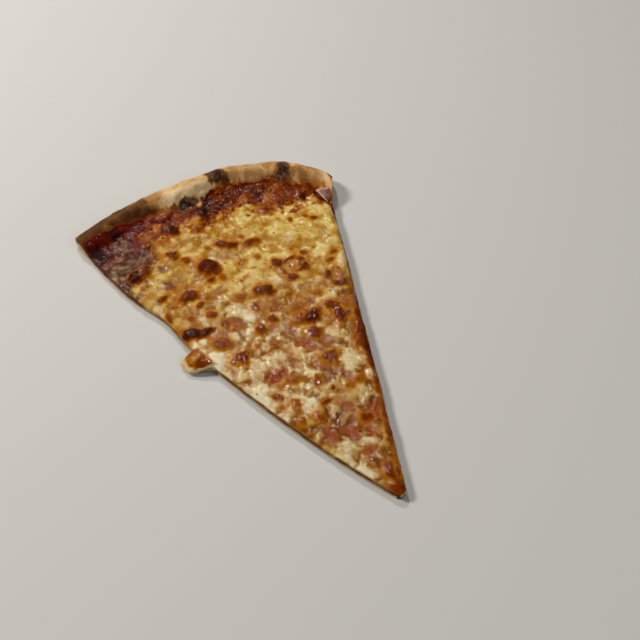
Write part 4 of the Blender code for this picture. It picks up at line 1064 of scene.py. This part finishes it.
def bits_finish():
    """Crisp bits of cheese and sauce: cream to amber to dark brown by their toast."""
    f = Finish("baked_bits", 0.4, Coat_Weight=0.3, Coat_Roughness=0.12, Specular_IOR_Level=0.3)
    fine = f.noise(0.7, 3.0)
    toast = f.stir(f.attribute("toast"), fine, 0.3)
    colour = f.ramp(toast, [
        (0.0, tint(214, 188, 140)), (0.22, tint(190, 142, 76)), (0.42, tint(160, 90, 24)),
        (0.62, tint(122, 54, 8)), (0.82, tint(84, 28, 6)), (1.0, tint(48, 18, 12))])
    return f.set(Base_Color=colour, Normal=f.bump(fine, 0.15))


def oil_finish():
    """Beads of clear amber oil."""
    f = Finish("amber_oil", 0.06, Transmission_Weight=0.7, IOR=1.46)
    return f.set(Base_Color=f.mix(f.noise(1.5), tint(236, 196, 120), tint(222, 160, 70)))


def fleck_finish():
    """Dried herb and burnt crumbs: dull olive to black."""
    f = Finish("dried_herb", 0.7, Specular_IOR_Level=0.2)
    colour = f.ramp(f.stir(f.attribute("burnt"), f.noise(0.5), 0.4), [
        (0.1, tint(84, 72, 30)), (0.5, tint(58, 44, 22)), (0.9, tint(34, 22, 18))])
    return f.set(Base_Color=colour)


# --- Dough ----------------------------------------------------------------------------------------------
RIM_WIDTH = 22.5            # width of the closely netted rim


def dough_net(columns, base_rows, rim_rows):
    """Plan of the dough: columns from cut to cut, rows even from the tip to the rim, then closer and
    closer to the outer edge by a quarter sine. Returns x, y and the share between the cuts."""
    s_line = np.linspace(0.0, 1.0, columns)
    start, end, slant = tip_line(s_line), crust_line(s_line), crust_slant(s_line)
    foot = end - RIM_WIDTH * slant
    rows = [start + (foot - start) * share for share in np.linspace(0.0, 1.0, base_rows)]
    for share in np.linspace(0.0, 1.0, rim_rows)[1:]:
        rows.append(end - RIM_WIDTH * (1.0 - np.sin(0.5 * pi * share)) * slant)
    y = np.array(rows)
    s = np.broadcast_to(s_line, y.shape)
    return left_cut(y) + (right_cut(y) - left_cut(y)) * s, y, s


def crust_relief(arc, profile, inward):
    """Skin of the crust along its arc and its profile: slow and fine waves and a few blisters."""
    close, tag = pebbles(arc + 1.2 * cloud(arc, profile, 5.0, 77), profile, 6.5, 76)
    blister = ease(0.62, 0.75, tag) * np.clip(1.0 - (close / 0.5) ** 2, 0.0, 1.0)
    relief = 0.26 * clouds(arc, profile, 10.0, 74, 2) + 0.10 * clouds(arc, profile, 3.6, 75, 2)
    relief = relief + 0.34 * blister + 0.05 * clouds(arc, profile, 1.2, 78, 2)
    return (relief - 0.30) * ease(20.0, 12.0, inward)


def dough_maps(x, y, s, inward):
    """Toast, sauce stain and char of the crust: browner to the left and outside, cream on its inner face."""
    arc = ARC * s
    left = ease(0.36, 0.25, s + 0.03 * cloud(x, y, 8.0, 72))
    toast = 0.36 + 0.42 * left + 0.06 * ease(4.0, 0.0, inward) - 0.04 * ease(0.88, 0.94, s)
    toast = toast + 0.16 * clouds(arc, inward, 9.0, 71, 3) + 0.06 * clouds(arc, inward, 2.6, 70, 2)
    middle = ease(0.29, 0.37, s) * ease(0.62, 0.54, s)
    face = ease(7.5, 11.0, inward + 1.6 * cloud(arc, inward, 6.0, 69)) * middle
    toast = toast * (1.0 - 0.2 * middle - 0.7 * face)
    char = np.zeros_like(toast)
    crest, uneven = ease(0.2, 2.0, inward), 0.50 * clouds(x, y, 3.5, 73, 3)
    for *mark, tone, burnt in CRUST_MARKS:
        r = oval(x, y, *mark) + uneven
        toast = toast + (tone - toast) * ease(1.2, 0.55, r) * crest
        char = np.maximum(char, burnt * ease(1.05, 0.4, r) * crest)
    line = sauce_line(s)
    stain = 0.85 * ease(line - 2.4, line + 0.2, inward + 1.1 * clouds(arc, inward, 3.0, 68, 2))
    uneven = 0.30 * clouds(x, y, 4.0, 67, 3)
    for *mark, strength in CRUST_STAINS:
        stain = np.maximum(stain, strength * ease(1.15, 0.5, oval(x, y, *mark) + uneven))
    return np.clip(toast, 0.0, 1.0), stain, char


def make_dough(material):
    """Base and crust in one body: flat to the foot of the crust, then a blistered rim, with crumb cuts."""
    columns, levels, base_rows, rim_rows = 340, 7, 96, 84
    x, y, s = dough_net(columns, base_rows, rim_rows)
    arc, inward = ARC * s, crust_reach(s, y)
    top, under = dough_surface(s, x, y), dough_underside(s, y)
    steps = np.hypot(np.diff(y, axis=0, prepend=y[:1]), np.diff(top, axis=0, prepend=top[:1]))
    profile = np.cumsum(steps, axis=0)
    relief = crust_relief(arc, profile[-1] - profile, inward)
    under_relief = (0.25 * clouds(arc, inward, 6.0, 79, 2) - 0.3) * ease(8.0, 3.0, inward)
    pits = (0.10 + 0.10 * clouds(x, y, 5.0, 80, 3)) * ease(4.0, 6.0, inward)

    (i, j, k), faces = box_net(len(y), columns, levels, flat_top=base_rows)
    h = k / (levels - 1.0)
    tops = np.stack([x, y, top]) + relief * grid_normals(x, y, top)
    unders = np.stack([x, y, under + pits]) - under_relief * grid_normals(x, y, under)
    points = (unders[:, i, j] * (1.0 - h) + tops[:, i, j] * h).T
    side = cut_side(j, columns)
    wall = np.abs(side) * np.sin(pi * np.clip(h, 0.03, 0.97)) ** 0.5
    rough_wall = 0.32 * clouds(points[:, 1], 3.0 * points[:, 2], 3.0, 81, 3) - 0.15
    points[:, 0] += side * wall * rough_wall
    points[:, 2] = np.maximum(points[:, 2], 0.0)

    toast, stain, char = dough_maps(points[:, 0], points[:, 1], s[i, j], inward[i, j])
    below = 0.46 + 0.36 * ease(0.1, 0.8, clouds(points[:, 0], points[:, 1], 7.0, 82, 4))
    on_wall = side != 0
    toast = np.where(h < 0.5, np.where(on_wall, 0.14 + 0.5 * ease(0.2, 0.0, h), below), toast)
    crumb = (on_wall | (i == 0)) & (k > 0) & (k < levels - 1)
    values = {"toast": toast, "crumb": crumb * 1.0, "stain": stain * (h > 0.9), "char": char * (h > 0.3)}
    place_piece("dough_with_crust", points, faces, values, material, "dough")


# --- Sauce ----------------------------------------------------------------------------------------------
OPEN_FROM = 0.71            # share of the way to the crust where the open, finely netted sauce starts


def sauce_maps(x, y, s, inward):
    """Relief, tone, red, film and char of the open sauce: lumpy, browned with fat, red and filmed in the
    corner."""
    wx, wy = x + 2.2 * clouds(x, y, 8.0, 97, 3), y + 2.2 * clouds(x, y, 8.0, 98, 3)
    corner = ease(-38.0, -50.0, x + 3.0 * cloud(x, y, 8.0, 89)) * ease(160.0, 172.0, y)
    broad, knobs, slow = billow(wx, wy, 8.0, 90), billow(wx, wy, 3.4, 92, 1), clouds(x, y, 12.0, 93, 3)
    relief = (1.2 * rounded(broad) + 0.45 * rounded(knobs)) * (1.0 - 0.5 * corner) + 0.3 * slow - 0.25
    tone = 0.40 + 0.24 * clouds(wx, wy, 5.0, 99, 3) + 0.12 * (knobs - 0.40) + 0.14 * slow - 0.06 * corner
    char = 0.2 * ease(0.5, 0.9, clouds(wx, wy, 5.0, 88, 2))
    room = inward - sauce_line(s)
    shore = ease(5.0, 0.5, room + 1.4 * clouds(x, y, 3.5, 87, 2))
    tone = tone + shore * (0.04 + 0.12 * ease(-14.0, -24.0, x) + 0.25 * ease(57.0, 61.0, x))
    uneven = 0.35 * clouds(x, y, 4.5, 86, 3)
    for *mark, change, burnt in SAUCE_MARKS_AND_GLINTS:
        share = ease(1.25, 0.4, oval(x, y, *mark) + uneven)
        tone = tone + change * share
        char = np.maximum(char, burnt * share)
    streak = bell(x + 55.5 - 0.5 * (y - 206.0), 0.0, 4.5) * ease(192.0, 199.0, y) * ease(215.0, 209.0, y)
    low = ease(201.0, 192.0, y + 3.0 * cloud(x, y, 7.0, 83))
    film = corner * np.maximum(streak, low) * (0.85 + 0.5 * clouds(wx, 0.6 * wy, 5.0, 94, 3))
    strip = ease(11.0, 7.0, room + 2.0 * cloud(x, y, 7.0, 84)) * ease(-14.0, -24.0, x)
    red = np.maximum(corner, strip) * (0.85 + 0.3 * clouds(x, y, 7.0, 85, 2))
    pale = 0.44
    tone = np.where(tone < pale, tone, pale + (tone - pale) * (1.0 - 0.5 * corner))
    return relief, *(np.clip(value, 0.0, 1.0) for value in (tone, red, film * (1.0 - char), char))


def sauce_height(x, y, s, inward, relief):
    """Top of the open sauce: the dough, the layer and its relief, thinning to nothing at the sauce line."""
    thin = ease(0.0, 4.0, inward - sauce_line(s))
    return dough_surface(s, x, y) + (GAP + SAUCE_THICK + 0.8 * relief) * thin - 0.12 * (1.0 - thin)


def make_sauce(material):
    """Thin layer over the base; the part near the crust and the left corner lie open and are uneven."""
    columns, levels, hidden_rows, open_rows, climb_rows = 400, 4, 60, 112, 20
    s_line = np.linspace(0.0, 1.0, columns)
    start, end, slant = tip_line(s_line, 0.4), crust_line(s_line), crust_slant(s_line)
    bare, climb = sauce_line(s_line), CRUST_SHOULDER + 1.0
    foot = end - (bare + climb) * slant
    hidden_shares = np.linspace(0.0, OPEN_FROM, hidden_rows)[:-1]
    shares = np.concatenate([hidden_shares, np.linspace(OPEN_FROM, 1.0, open_rows)])
    rows = [start + (foot - start) * share for share in shares]
    rows += [end - (bare + climb * (1.0 - share)) * slant for share in np.linspace(0.0, 1.0, climb_rows)[1:]]
    y = np.array(rows)
    s = np.broadcast_to(s_line, y.shape)
    x = left_cut(y) + SAUCE_INSET + (right_cut(y) - left_cut(y) - 2.0 * SAUCE_INSET) * s
    inward = crust_reach(s, y)
    relief, tone, red, film, char = sauce_maps(x, y, s, inward)
    covered = ease(0.55, 0.95, cheese_cover(x, y))
    covered[:hidden_rows] = 1.0
    under_cheese = CHEESE_FLOOR + 0.03
    bottom = dough_surface(s, x, y) - SAUCE_SINK
    top = sauce_height(x, y, s, inward, relief) * (1.0 - covered) + under_cheese * covered
    top = np.maximum(top, bottom + 0.02)
    bottom = bottom - 0.4 * ease(4.0, 0.0, inward - sauce_line(s))

    (i, j, k), faces = box_net(len(y), columns, levels, flat_top=hidden_rows - 1, flat_under=len(shares) - 1)
    h = k / (levels - 1.0)
    points = np.stack([x[i, j], y[i, j], bottom[i, j] * (1.0 - h) + top[i, j] * h], axis=-1)
    points[:, 0] += cut_side(j, columns) * (0.2 * clouds(points[:, 1], points[:, 2], 2.5, 96, 2) - 0.1)
    values = {"toast": tone[i, j], "red": red[i, j], "film": film[i, j], "char": char[i, j]}
    place_piece("sauce_layer", points, faces, values, material, "sauce")


# --- Cheese ---------------------------------------------------------------------------------------------
def cheese_height(maps, x, y, share=1.0):
    """Top of the cheese: its map on the sauce, sinking below the sauce where the fringe has none."""
    sink = 0.6
    ground = dough_surface(cut_share(x, y), x, y) + GAP + SAUCE_THICK
    tall = np.maximum(read_map(maps["height"], x, y), 0.55) * share
    floor = CHEESE_FLOOR - DOUGH_THICK - GAP - SAUCE_THICK + sink
    return ground - sink + (floor + tall) * read_map(maps["cover"], x, y)


def cheese_sides(y):
    """x of the net's left and right border: the cheese's own, but further out round the bare corner."""
    loose = ease(158.0, 172.0, y)
    left = np.maximum(cheese_left(y) - 7.0 * loose, left_cut(y) + CHEESE_INSET + 0.5 * loose)
    return left, cheese_right(y)


def cheese_net(maps, columns, rows):
    """Top of the sheet: rows from the tip to the far edge, columns from cut to cut. At the lip the left
    columns are pulled out over the cut, where they plump up and drop with their distance from it."""
    s_line = np.linspace(0.0, 1.0, columns)
    crust_foot = crust_line(s_line) - (sauce_line(s_line) + 4.5) * crust_slant(s_line)
    start, end = tip_line(s_line, 0.2), np.minimum(fringe_end(s_line) + 6.0, crust_foot)
    y = start + (end - start) * np.linspace(0.0, 1.0, rows)[:, None]
    s = np.broadcast_to(s_line, y.shape)
    left, right = cheese_sides(y)
    pull = TONGUE_REACH * bell(y, TONGUE_Y, TONGUE_HALF, 6) * (1.0 + 0.06 * cloud(y, 0.0 * y, 2.2, 64))
    x = left + (right - left) * s
    x = x - pull * np.clip(1.0 - (x - left) / 13.0, 0.0, 1.0) ** 1.3
    outside = np.clip(left_cut(y) - x, 0.0, None)
    drop = TONGUE_DROP * ease(0.0, TONGUE_REACH, outside)

    to_left = x - left + pull + 9.0 * ease(158.0, 170.0, y)
    side_share = 0.42 + 0.58 * ease(0.0, 2.4, np.minimum(to_left, right - x))
    side_share = side_share * (0.5 + 0.5 * ease(0.0, 2.5, y - start))
    top = cheese_height(maps, x, y, side_share)
    on_lip = ease(0.3, 2.0, outside)
    plump = CHEESE_FLOOR + 0.2 + (0.9 + 0.55 * read_map(maps["height"], x, y)) * np.sqrt(side_share)
    plump = plump + 0.35 * cloud(x, y, 2.4, 63) + 0.15 * cloud(x, y, 1.2, 65)
    top = top * (1.0 - on_lip) + plump * on_lip - drop
    return SimpleNamespace(
        x=x, y=y, top=top, s=s, drop=drop, to_left=to_left, s_line=s_line, start=start, end=end,
    )


def cheese_rings(net, border):
    """Rings that close the sheet below, each as long as its border: out past the edge, down, back under it
    and in. Over the cuts the edge hangs; at the far edge and the bare corner it sinks into the sauce."""
    rows, columns = net.x.shape
    x, y, z, s, drop = (field.ravel()[border] for field in (net.x, net.y, net.top, net.s, net.drop))
    t = (border // columns) / (rows - 1.0)
    step_x, step_y = np.roll(x, -1) - np.roll(x, 1), np.roll(y, -1) - np.roll(y, 1)
    length = np.maximum(np.hypot(step_x, step_y), 1e-6)
    out_x, out_y = step_y / length, -step_x / length

    loose_left = ease(162.0, 170.0, y) * (s < 0.5)
    free = np.maximum(ease(0.985, 1.0, t), loose_left)
    hang = (0.5 + 1.9 * np.clip(clouds(y, 30.0 * s, 8.0, 25, 2) + 0.15, 0.0, 1.0)) * (drop < 0.05)
    sunk = dough_surface(cut_share(x, y), x, y) + GAP + SAUCE_THICK - 0.9
    low = sunk * free + (CHEESE_FLOOR - 0.1 - hang - drop) * (1.0 - free)
    shallow = sunk.min() * free + (CHEESE_FLOOR - 0.55 * drop) * (1.0 - free)
    swell = 0.45 * (1.0 - free) + 0.02

    def outward(width, height):
        """The border moved out by a width."""
        return x + width * out_x, y + width * out_y, height

    def drawn_in(across, along, height):
        """The border drawn in to a share of the slice's width and length."""
        length_here = np.interp(s, net.s_line, net.end - net.start)
        at_y = np.interp(s, net.s_line, net.start) + length_here * (0.03 + along * t)
        left, right = cheese_sides(at_y)
        return left + (right - left) * (0.5 + (s - 0.5) * across), at_y, height

    return [
        outward(0.7 * swell, z + 0.22 * (low - z)),
        outward(swell, z + 0.5 * (low - z)),
        outward(0.8 * swell, z + 0.8 * (low - z)),
        outward(0.2 * swell, low),
        outward(-0.3, np.maximum(low, shallow - 0.45 * drop - 0.1)),
        drawn_in(0.96 - 0.22 * loose_left, 0.90, shallow),
        drawn_in(0.90 - 0.25 * loose_left, 0.87, np.full_like(x, CHEESE_FLOOR)),
    ]


def cheese_values(maps, net, points):
    """The maps read at every point; the lip is browned on its crown and pale round it, the edge baked, and
    darker on the right, where it also paints the shade of the gap between the slices.
    """
    x, y = points[:, 0], points[:, 1]
    values = {key: read_map(maps[key], x, y) for key in maps if key not in ("height", "cover")}
    on_edge = np.arange(len(points)) >= net.x.size
    on_lip = ease(TONGUE_HALF + 1.5, TONGUE_HALF - 0.5, np.abs(y - TONGUE_Y))
    on_lip = ease(-2.5, 0.5, left_cut(y) - x) * on_lip
    crown = np.zeros(len(points))
    crown[:net.x.size] = ease(0.3, 2.2, (net.to_left + 1.1 * cloud(net.x, net.y, 2.0, 62)).ravel())
    # Golden on the left; the right half is darker, baking together with painted shade of the gap between the
    # slices.
    edge_toast_and_shade = 0.30 + 0.14 * clouds(y, 3.0 * points[:, 2], 5.0, 24, 2) + 0.25 * (x > 0.3 * y * RIGHT_SLOPE)
    toast = np.where(on_edge, np.maximum(edge_toast_and_shade, 0.8 * values["toast"]), values["toast"])
    browned = (0.58 + 0.26 * clouds(x, y, 5.0, 61, 3)) * crown + 0.16 * (1.0 - crown)
    values["toast"] = toast * (1.0 - on_lip) + browned * on_lip
    values["thin"] = values["thin"] * (1.0 - on_lip) * ~on_edge
    values["curd"] = values["curd"] * (1.0 - 0.6 * on_lip) + 0.50 * on_lip
    values["cream"] = values["cream"] * (1.0 - on_lip) + 0.7 * on_lip * (1.0 - crown)
    return values


def make_cheese(maps, material):
    """Melted sheet: a net of heights whose border runs over the cuts, hangs a little and turns in below."""
    columns, rows = 232, 378
    net = cheese_net(maps, columns, rows)
    number = np.arange(rows * columns).reshape(rows, columns)
    border = border_loop(number)
    rings = cheese_rings(net, border)
    sheet = np.stack([net.x, net.y, net.top], axis=-1).reshape(-1, 3)
    points = np.concatenate([sheet] + [np.stack(ring, axis=-1) for ring in rings])
    faces = [quads(number[:-1, :-1], number[:-1, 1:], number[1:, 1:], number[1:, :-1])]
    previous = border
    for k in range(len(rings)):
        current = rows * columns + k * len(border) + np.arange(len(border))
        faces.append(quads(previous, current, np.roll(current, -1), np.roll(previous, -1)))
        previous = current
    faces.append(previous[None])
    values = cheese_values(maps, net, points)
    place_piece("melted_cheese", points, faces, values, material, "cheese")


# --- Torn flap ------------------------------------------------------------------------------------------
def make_flap(material):
    """Thin three-cornered sheet, its point low and its back edge standing up and curling over."""
    rows, columns, levels = 30, 24, 4
    v, u = np.meshgrid(np.linspace(0.05, 1.0, rows), np.linspace(0.0, 1.0, columns), indexing="ij")
    toe, back_left, back_right = (np.array(p) for p in (FLAP_POINT, FLAP_BACK_LEFT, FLAP_BACK_RIGHT))
    plan = [toe[a] + v * ((1.0 - u) * (back_left[a] - toe[a]) + u * (back_right[a] - toe[a])) for a in (0, 1)]
    rise = FLAP_LOW + (FLAP_RISE - 0.6 * u) * v ** 1.3 + 0.5 * np.sin(3.0 * u + 4.0 * v) * v
    rise = rise + 0.2 * cloud(plan[0], plan[1], 2.5, 66)
    plan[1] = plan[1] + 0.6 * v * np.sin(5.0 * u)
    thick = (0.9 + 0.2 * np.sin(7.0 * u) * v) * np.sqrt(np.clip(4.0 * u * (1.0 - u), 0.05, 1.0))
    (i, j, k), faces = box_net(rows, columns, levels)
    h = k / (levels - 1.0)
    points = np.stack([plan[0][i, j], plan[1][i, j], rise[i, j] + thick[i, j] * (h - 0.5)], axis=-1)
    # Paler at the left edge and back, darker to the right: the stain's paler edges together with painted
    # light and shade across the raised flap.
    pale = 0.9 * ease(0.22, 0.0, u) + 0.4 * ease(0.85, 1.0, v) + 0.5 * v * (1.0 - 0.6 * u)
    pale = pale + 0.25 * cloud(*plan, 2.6, 74)
    values = {"pale": pale[i, j]}
    place_piece("torn_flap_sheet", points, faces, values, material, "torn_flap")


# --- Scattered pieces -----------------------------------------------------------------------------------
def ball_net(rings, spokes):
    """Unit ball of points and its faces, outward: triangles round each pole and squares between."""
    down = np.linspace(0.0, pi, rings + 2)[1:-1, None]
    around = np.linspace(0.0, 2.0 * pi, spokes, endpoint=False)
    body = np.stack([np.sin(down) * np.cos(around), np.sin(down) * np.sin(around),
                     np.cos(down) + 0.0 * around], axis=-1).reshape(-1, 3)
    points = np.concatenate([body, [[0.0, 0.0, 1.0], [0.0, 0.0, -1.0]]])
    number = np.arange(rings * spokes).reshape(rings, spokes)
    after = np.roll(number, -1, axis=1)
    pole = np.full(spokes, rings * spokes)
    triangles = np.concatenate([np.stack([pole, number[0], after[0]], axis=-1),
                                np.stack([pole + 1, after[-1], number[-1]], axis=-1)])
    return points, triangles, quads(number[:-1], number[1:], after[1:], after[:-1])


def surface_height(maps, x, y):
    """Highest of cheese and open sauce at any points."""
    s = cut_share(x, y)
    inward = crust_reach(s, y)
    relief = sauce_maps(x, y, s, inward)[0]
    return np.maximum(cheese_height(maps, x, y), sauce_height(x, y, s, inward, relief))


def make_lumps(name, maps, x, y, sizes, turns, values, material, seed, raised=0.0, uneven=0.0,
               net=(4, 8), curl=0.0):
    """One piece of many small balls, flattened to their three sizes, uneven, curled by a parabola, turned and
    set on the slice, raised over its surface or sunk in it."""
    unit, triangles, squares = ball_net(*net)
    rng = np.random.default_rng(seed)
    count, each = len(x), len(unit)
    shape = unit[None] * (1.0 + uneven * rng.uniform(-1.0, 1.0, (count, each, 1)))
    shape = shape * np.asarray(sizes)[:, None, :]
    shape[:, :, 2] += curl * shape[:, :, 0] ** 2
    c, t = np.cos(turns)[:, None], np.sin(turns)[:, None]
    base = surface_height(maps, x, y) + raised
    points = np.stack([x[:, None] + shape[:, :, 0] * c - shape[:, :, 1] * t,
                       y[:, None] + shape[:, :, 0] * t + shape[:, :, 1] * c,
                       base[:, None] + shape[:, :, 2]], axis=-1).reshape(-1, 3)
    shift = (np.arange(count) * each)[:, None, None]
    faces = [(triangles[None] + shift).reshape(-1, 3), (squares[None] + shift).reshape(-1, 4)]
    values = {key: np.repeat(value, each) for key, value in values.items()}
    place_piece(name, points, faces, values, material)


def scatter(count, seed, low_y, high_y):
    """Random places between the cuts, a little in from them."""
    rng = np.random.default_rng(seed)
    y = rng.uniform(low_y, high_y, count)
    x = left_cut(y) + 1.5 + (right_cut(y) - left_cut(y) - 3.0) * rng.uniform(0.0, 1.0, count)
    return x, y, rng


def make_bits(maps, material):
    """Crisp bits on the open sauce and the ragged edge of the cheese, brown to cream."""
    x, y, rng = scatter(count=700, seed=301, low_y=164.0, high_y=231.0)
    s = cut_share(x, y)
    room = crust_reach(s, y) - sauce_line(s)
    cover = read_map(maps["cover"], x, y)
    corner = ease(-42.0, -50.0, x)
    keep = (room > 0.8) & (cover < 0.9) & (rng.uniform(0.0, 1.0, len(x)) < 0.55 * (1.0 - corner))
    x, y, s = x[keep], y[keep], s[keep]
    size = 0.4 + 0.9 * rng.uniform(0.0, 1.0, len(x)) ** 2.4
    length = size * rng.uniform(1.0, 1.8, len(x))
    sizes = np.stack([length, size, size * rng.uniform(0.4, 0.7, len(x))], axis=-1)
    toast = np.clip(rng.normal(0.66, 0.11, len(x)), 0.0, 1.0)
    turns = rng.uniform(0.0, 2.0 * pi, len(x))
    make_lumps("baked_bits", maps, x, y, sizes, turns, {"toast": toast}, material, seed=302,
               raised=-0.05, uneven=0.22)


def make_oil(maps, material):
    """Small beads of amber oil lying on the cheese and round its pools."""
    x, y, rng = scatter(count=900, seed=311, low_y=16.0, high_y=208.0)
    keep = read_map(maps["amber"], x, y) + rng.uniform(-0.3, 0.3, len(x)) > 0.55
    keep = keep & (read_map(maps["cover"], x, y) > 0.6)
    x, y = x[keep], y[keep]
    size = 0.35 + 0.65 * rng.uniform(0.0, 1.0, len(x)) ** 2.0
    sizes = np.stack([size * rng.uniform(1.0, 1.5, len(x)), size, 0.4 * size], axis=-1)
    turns = rng.uniform(0.0, 2.0 * pi, len(x))
    make_lumps("oil_beads", maps, x, y, sizes, turns, {}, material, seed=312)


def make_flecks(maps, material):
    """Curled flecks of dried herb and char, at the listed places."""
    x, y, length, turn, burnt = np.array(FLECKS).T
    sizes = np.stack([0.5 * length, 0.22 * length, 0.0 * length + 0.10], axis=-1)
    make_lumps("herb_flecks", maps, x, y, sizes, np.radians(turn), {"burnt": burnt}, material,
               seed=321, raised=0.12, uneven=0.15, net=(5, 12), curl=0.12)


# --- Stage ----------------------------------------------------------------------------------------------
def make_floor():
    """Plain pale floor."""
    size = 3.0
    corners = [(-size, -size, 0.0), (size, -size, 0.0), (size, size, 0.0), (-size, size, 0.0)]
    mesh = bpy.data.meshes.new("floor")
    mesh.from_pydata(corners, [], [(0, 1, 2, 3)])
    mesh.materials.append(Finish("pale_floor", 0.75).set(Base_Color=tint(206, 205, 202)))
    floor = bpy.data.objects.new("floor", mesh)
    bpy.context.collection.objects.link(floor)


def aim(thing, place, target):
    """Put a light or camera at a place, looking at a target."""
    thing.location = place
    thing.rotation_euler = (Vector(target) - Vector(place)).to_track_quat("-Z", "Y").to_euler()


def make_light(name, place, size, power, colour, mirrored):
    """Square soft light aimed at the middle of the slice, seen in wet surfaces or not."""
    lamp = bpy.data.lights.new(name, "AREA")
    lamp.size = size
    lamp.energy = power
    lamp.color = colour
    thing = bpy.data.objects.new(name, lamp)
    bpy.context.collection.objects.link(thing)
    thing.visible_glossy = mirrored
    aim(thing, place, (0.0, 0.0, 0.0))


def make_sky():
    """Faint even light from all sides, not seen in wet surfaces."""
    world = bpy.data.worlds.new("sky")
    world.use_nodes = True
    background = world.node_tree.nodes["Background"].inputs
    background["Color"].default_value = SKY_COLOUR
    background["Strength"].default_value = SKY_STRENGTH
    world.cycles_visibility.glossy = False
    bpy.context.scene.world = world


def make_camera():
    """Looks down on the slice from its front left."""
    lens = bpy.data.cameras.new("camera")
    lens.lens = FOCAL_LENGTH
    lens.sensor_width = SENSOR_WIDTH
    lens.clip_start = 0.01
    camera = bpy.data.objects.new("camera", lens)
    bpy.context.collection.objects.link(camera)
    place = Vector((np.array(CAMERA_PLACE) - ORIGIN) * MM)
    pitch = radians(CAMERA_PITCH)
    ahead = Vector((CAMERA_AHEAD[0] * np.cos(pitch), CAMERA_AHEAD[1] * np.cos(pitch), -np.sin(pitch)))
    aim(camera, place, place + ahead)
    bpy.context.scene.camera = camera


dough_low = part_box("dough")[0]
corner_x = float(left_cut(crust_line(np.array(0.0))))
ORIGIN = np.array([corner_x - dough_low.x / MM, TIP_Y - dough_low.y / MM, 0.0])

maps = bake()
make_dough(dough_finish())
make_sauce(sauce_finish())
make_cheese(maps, cheese_finish())
make_flap(flap_finish())
make_bits(maps, bits_finish())
make_oil(maps, oil_finish())
make_flecks(maps, fleck_finish())
make_floor()
for light in LIGHTS:
    make_light(*light)
make_sky()
make_camera()
bpy.context.scene.view_settings.view_transform = "Standard"
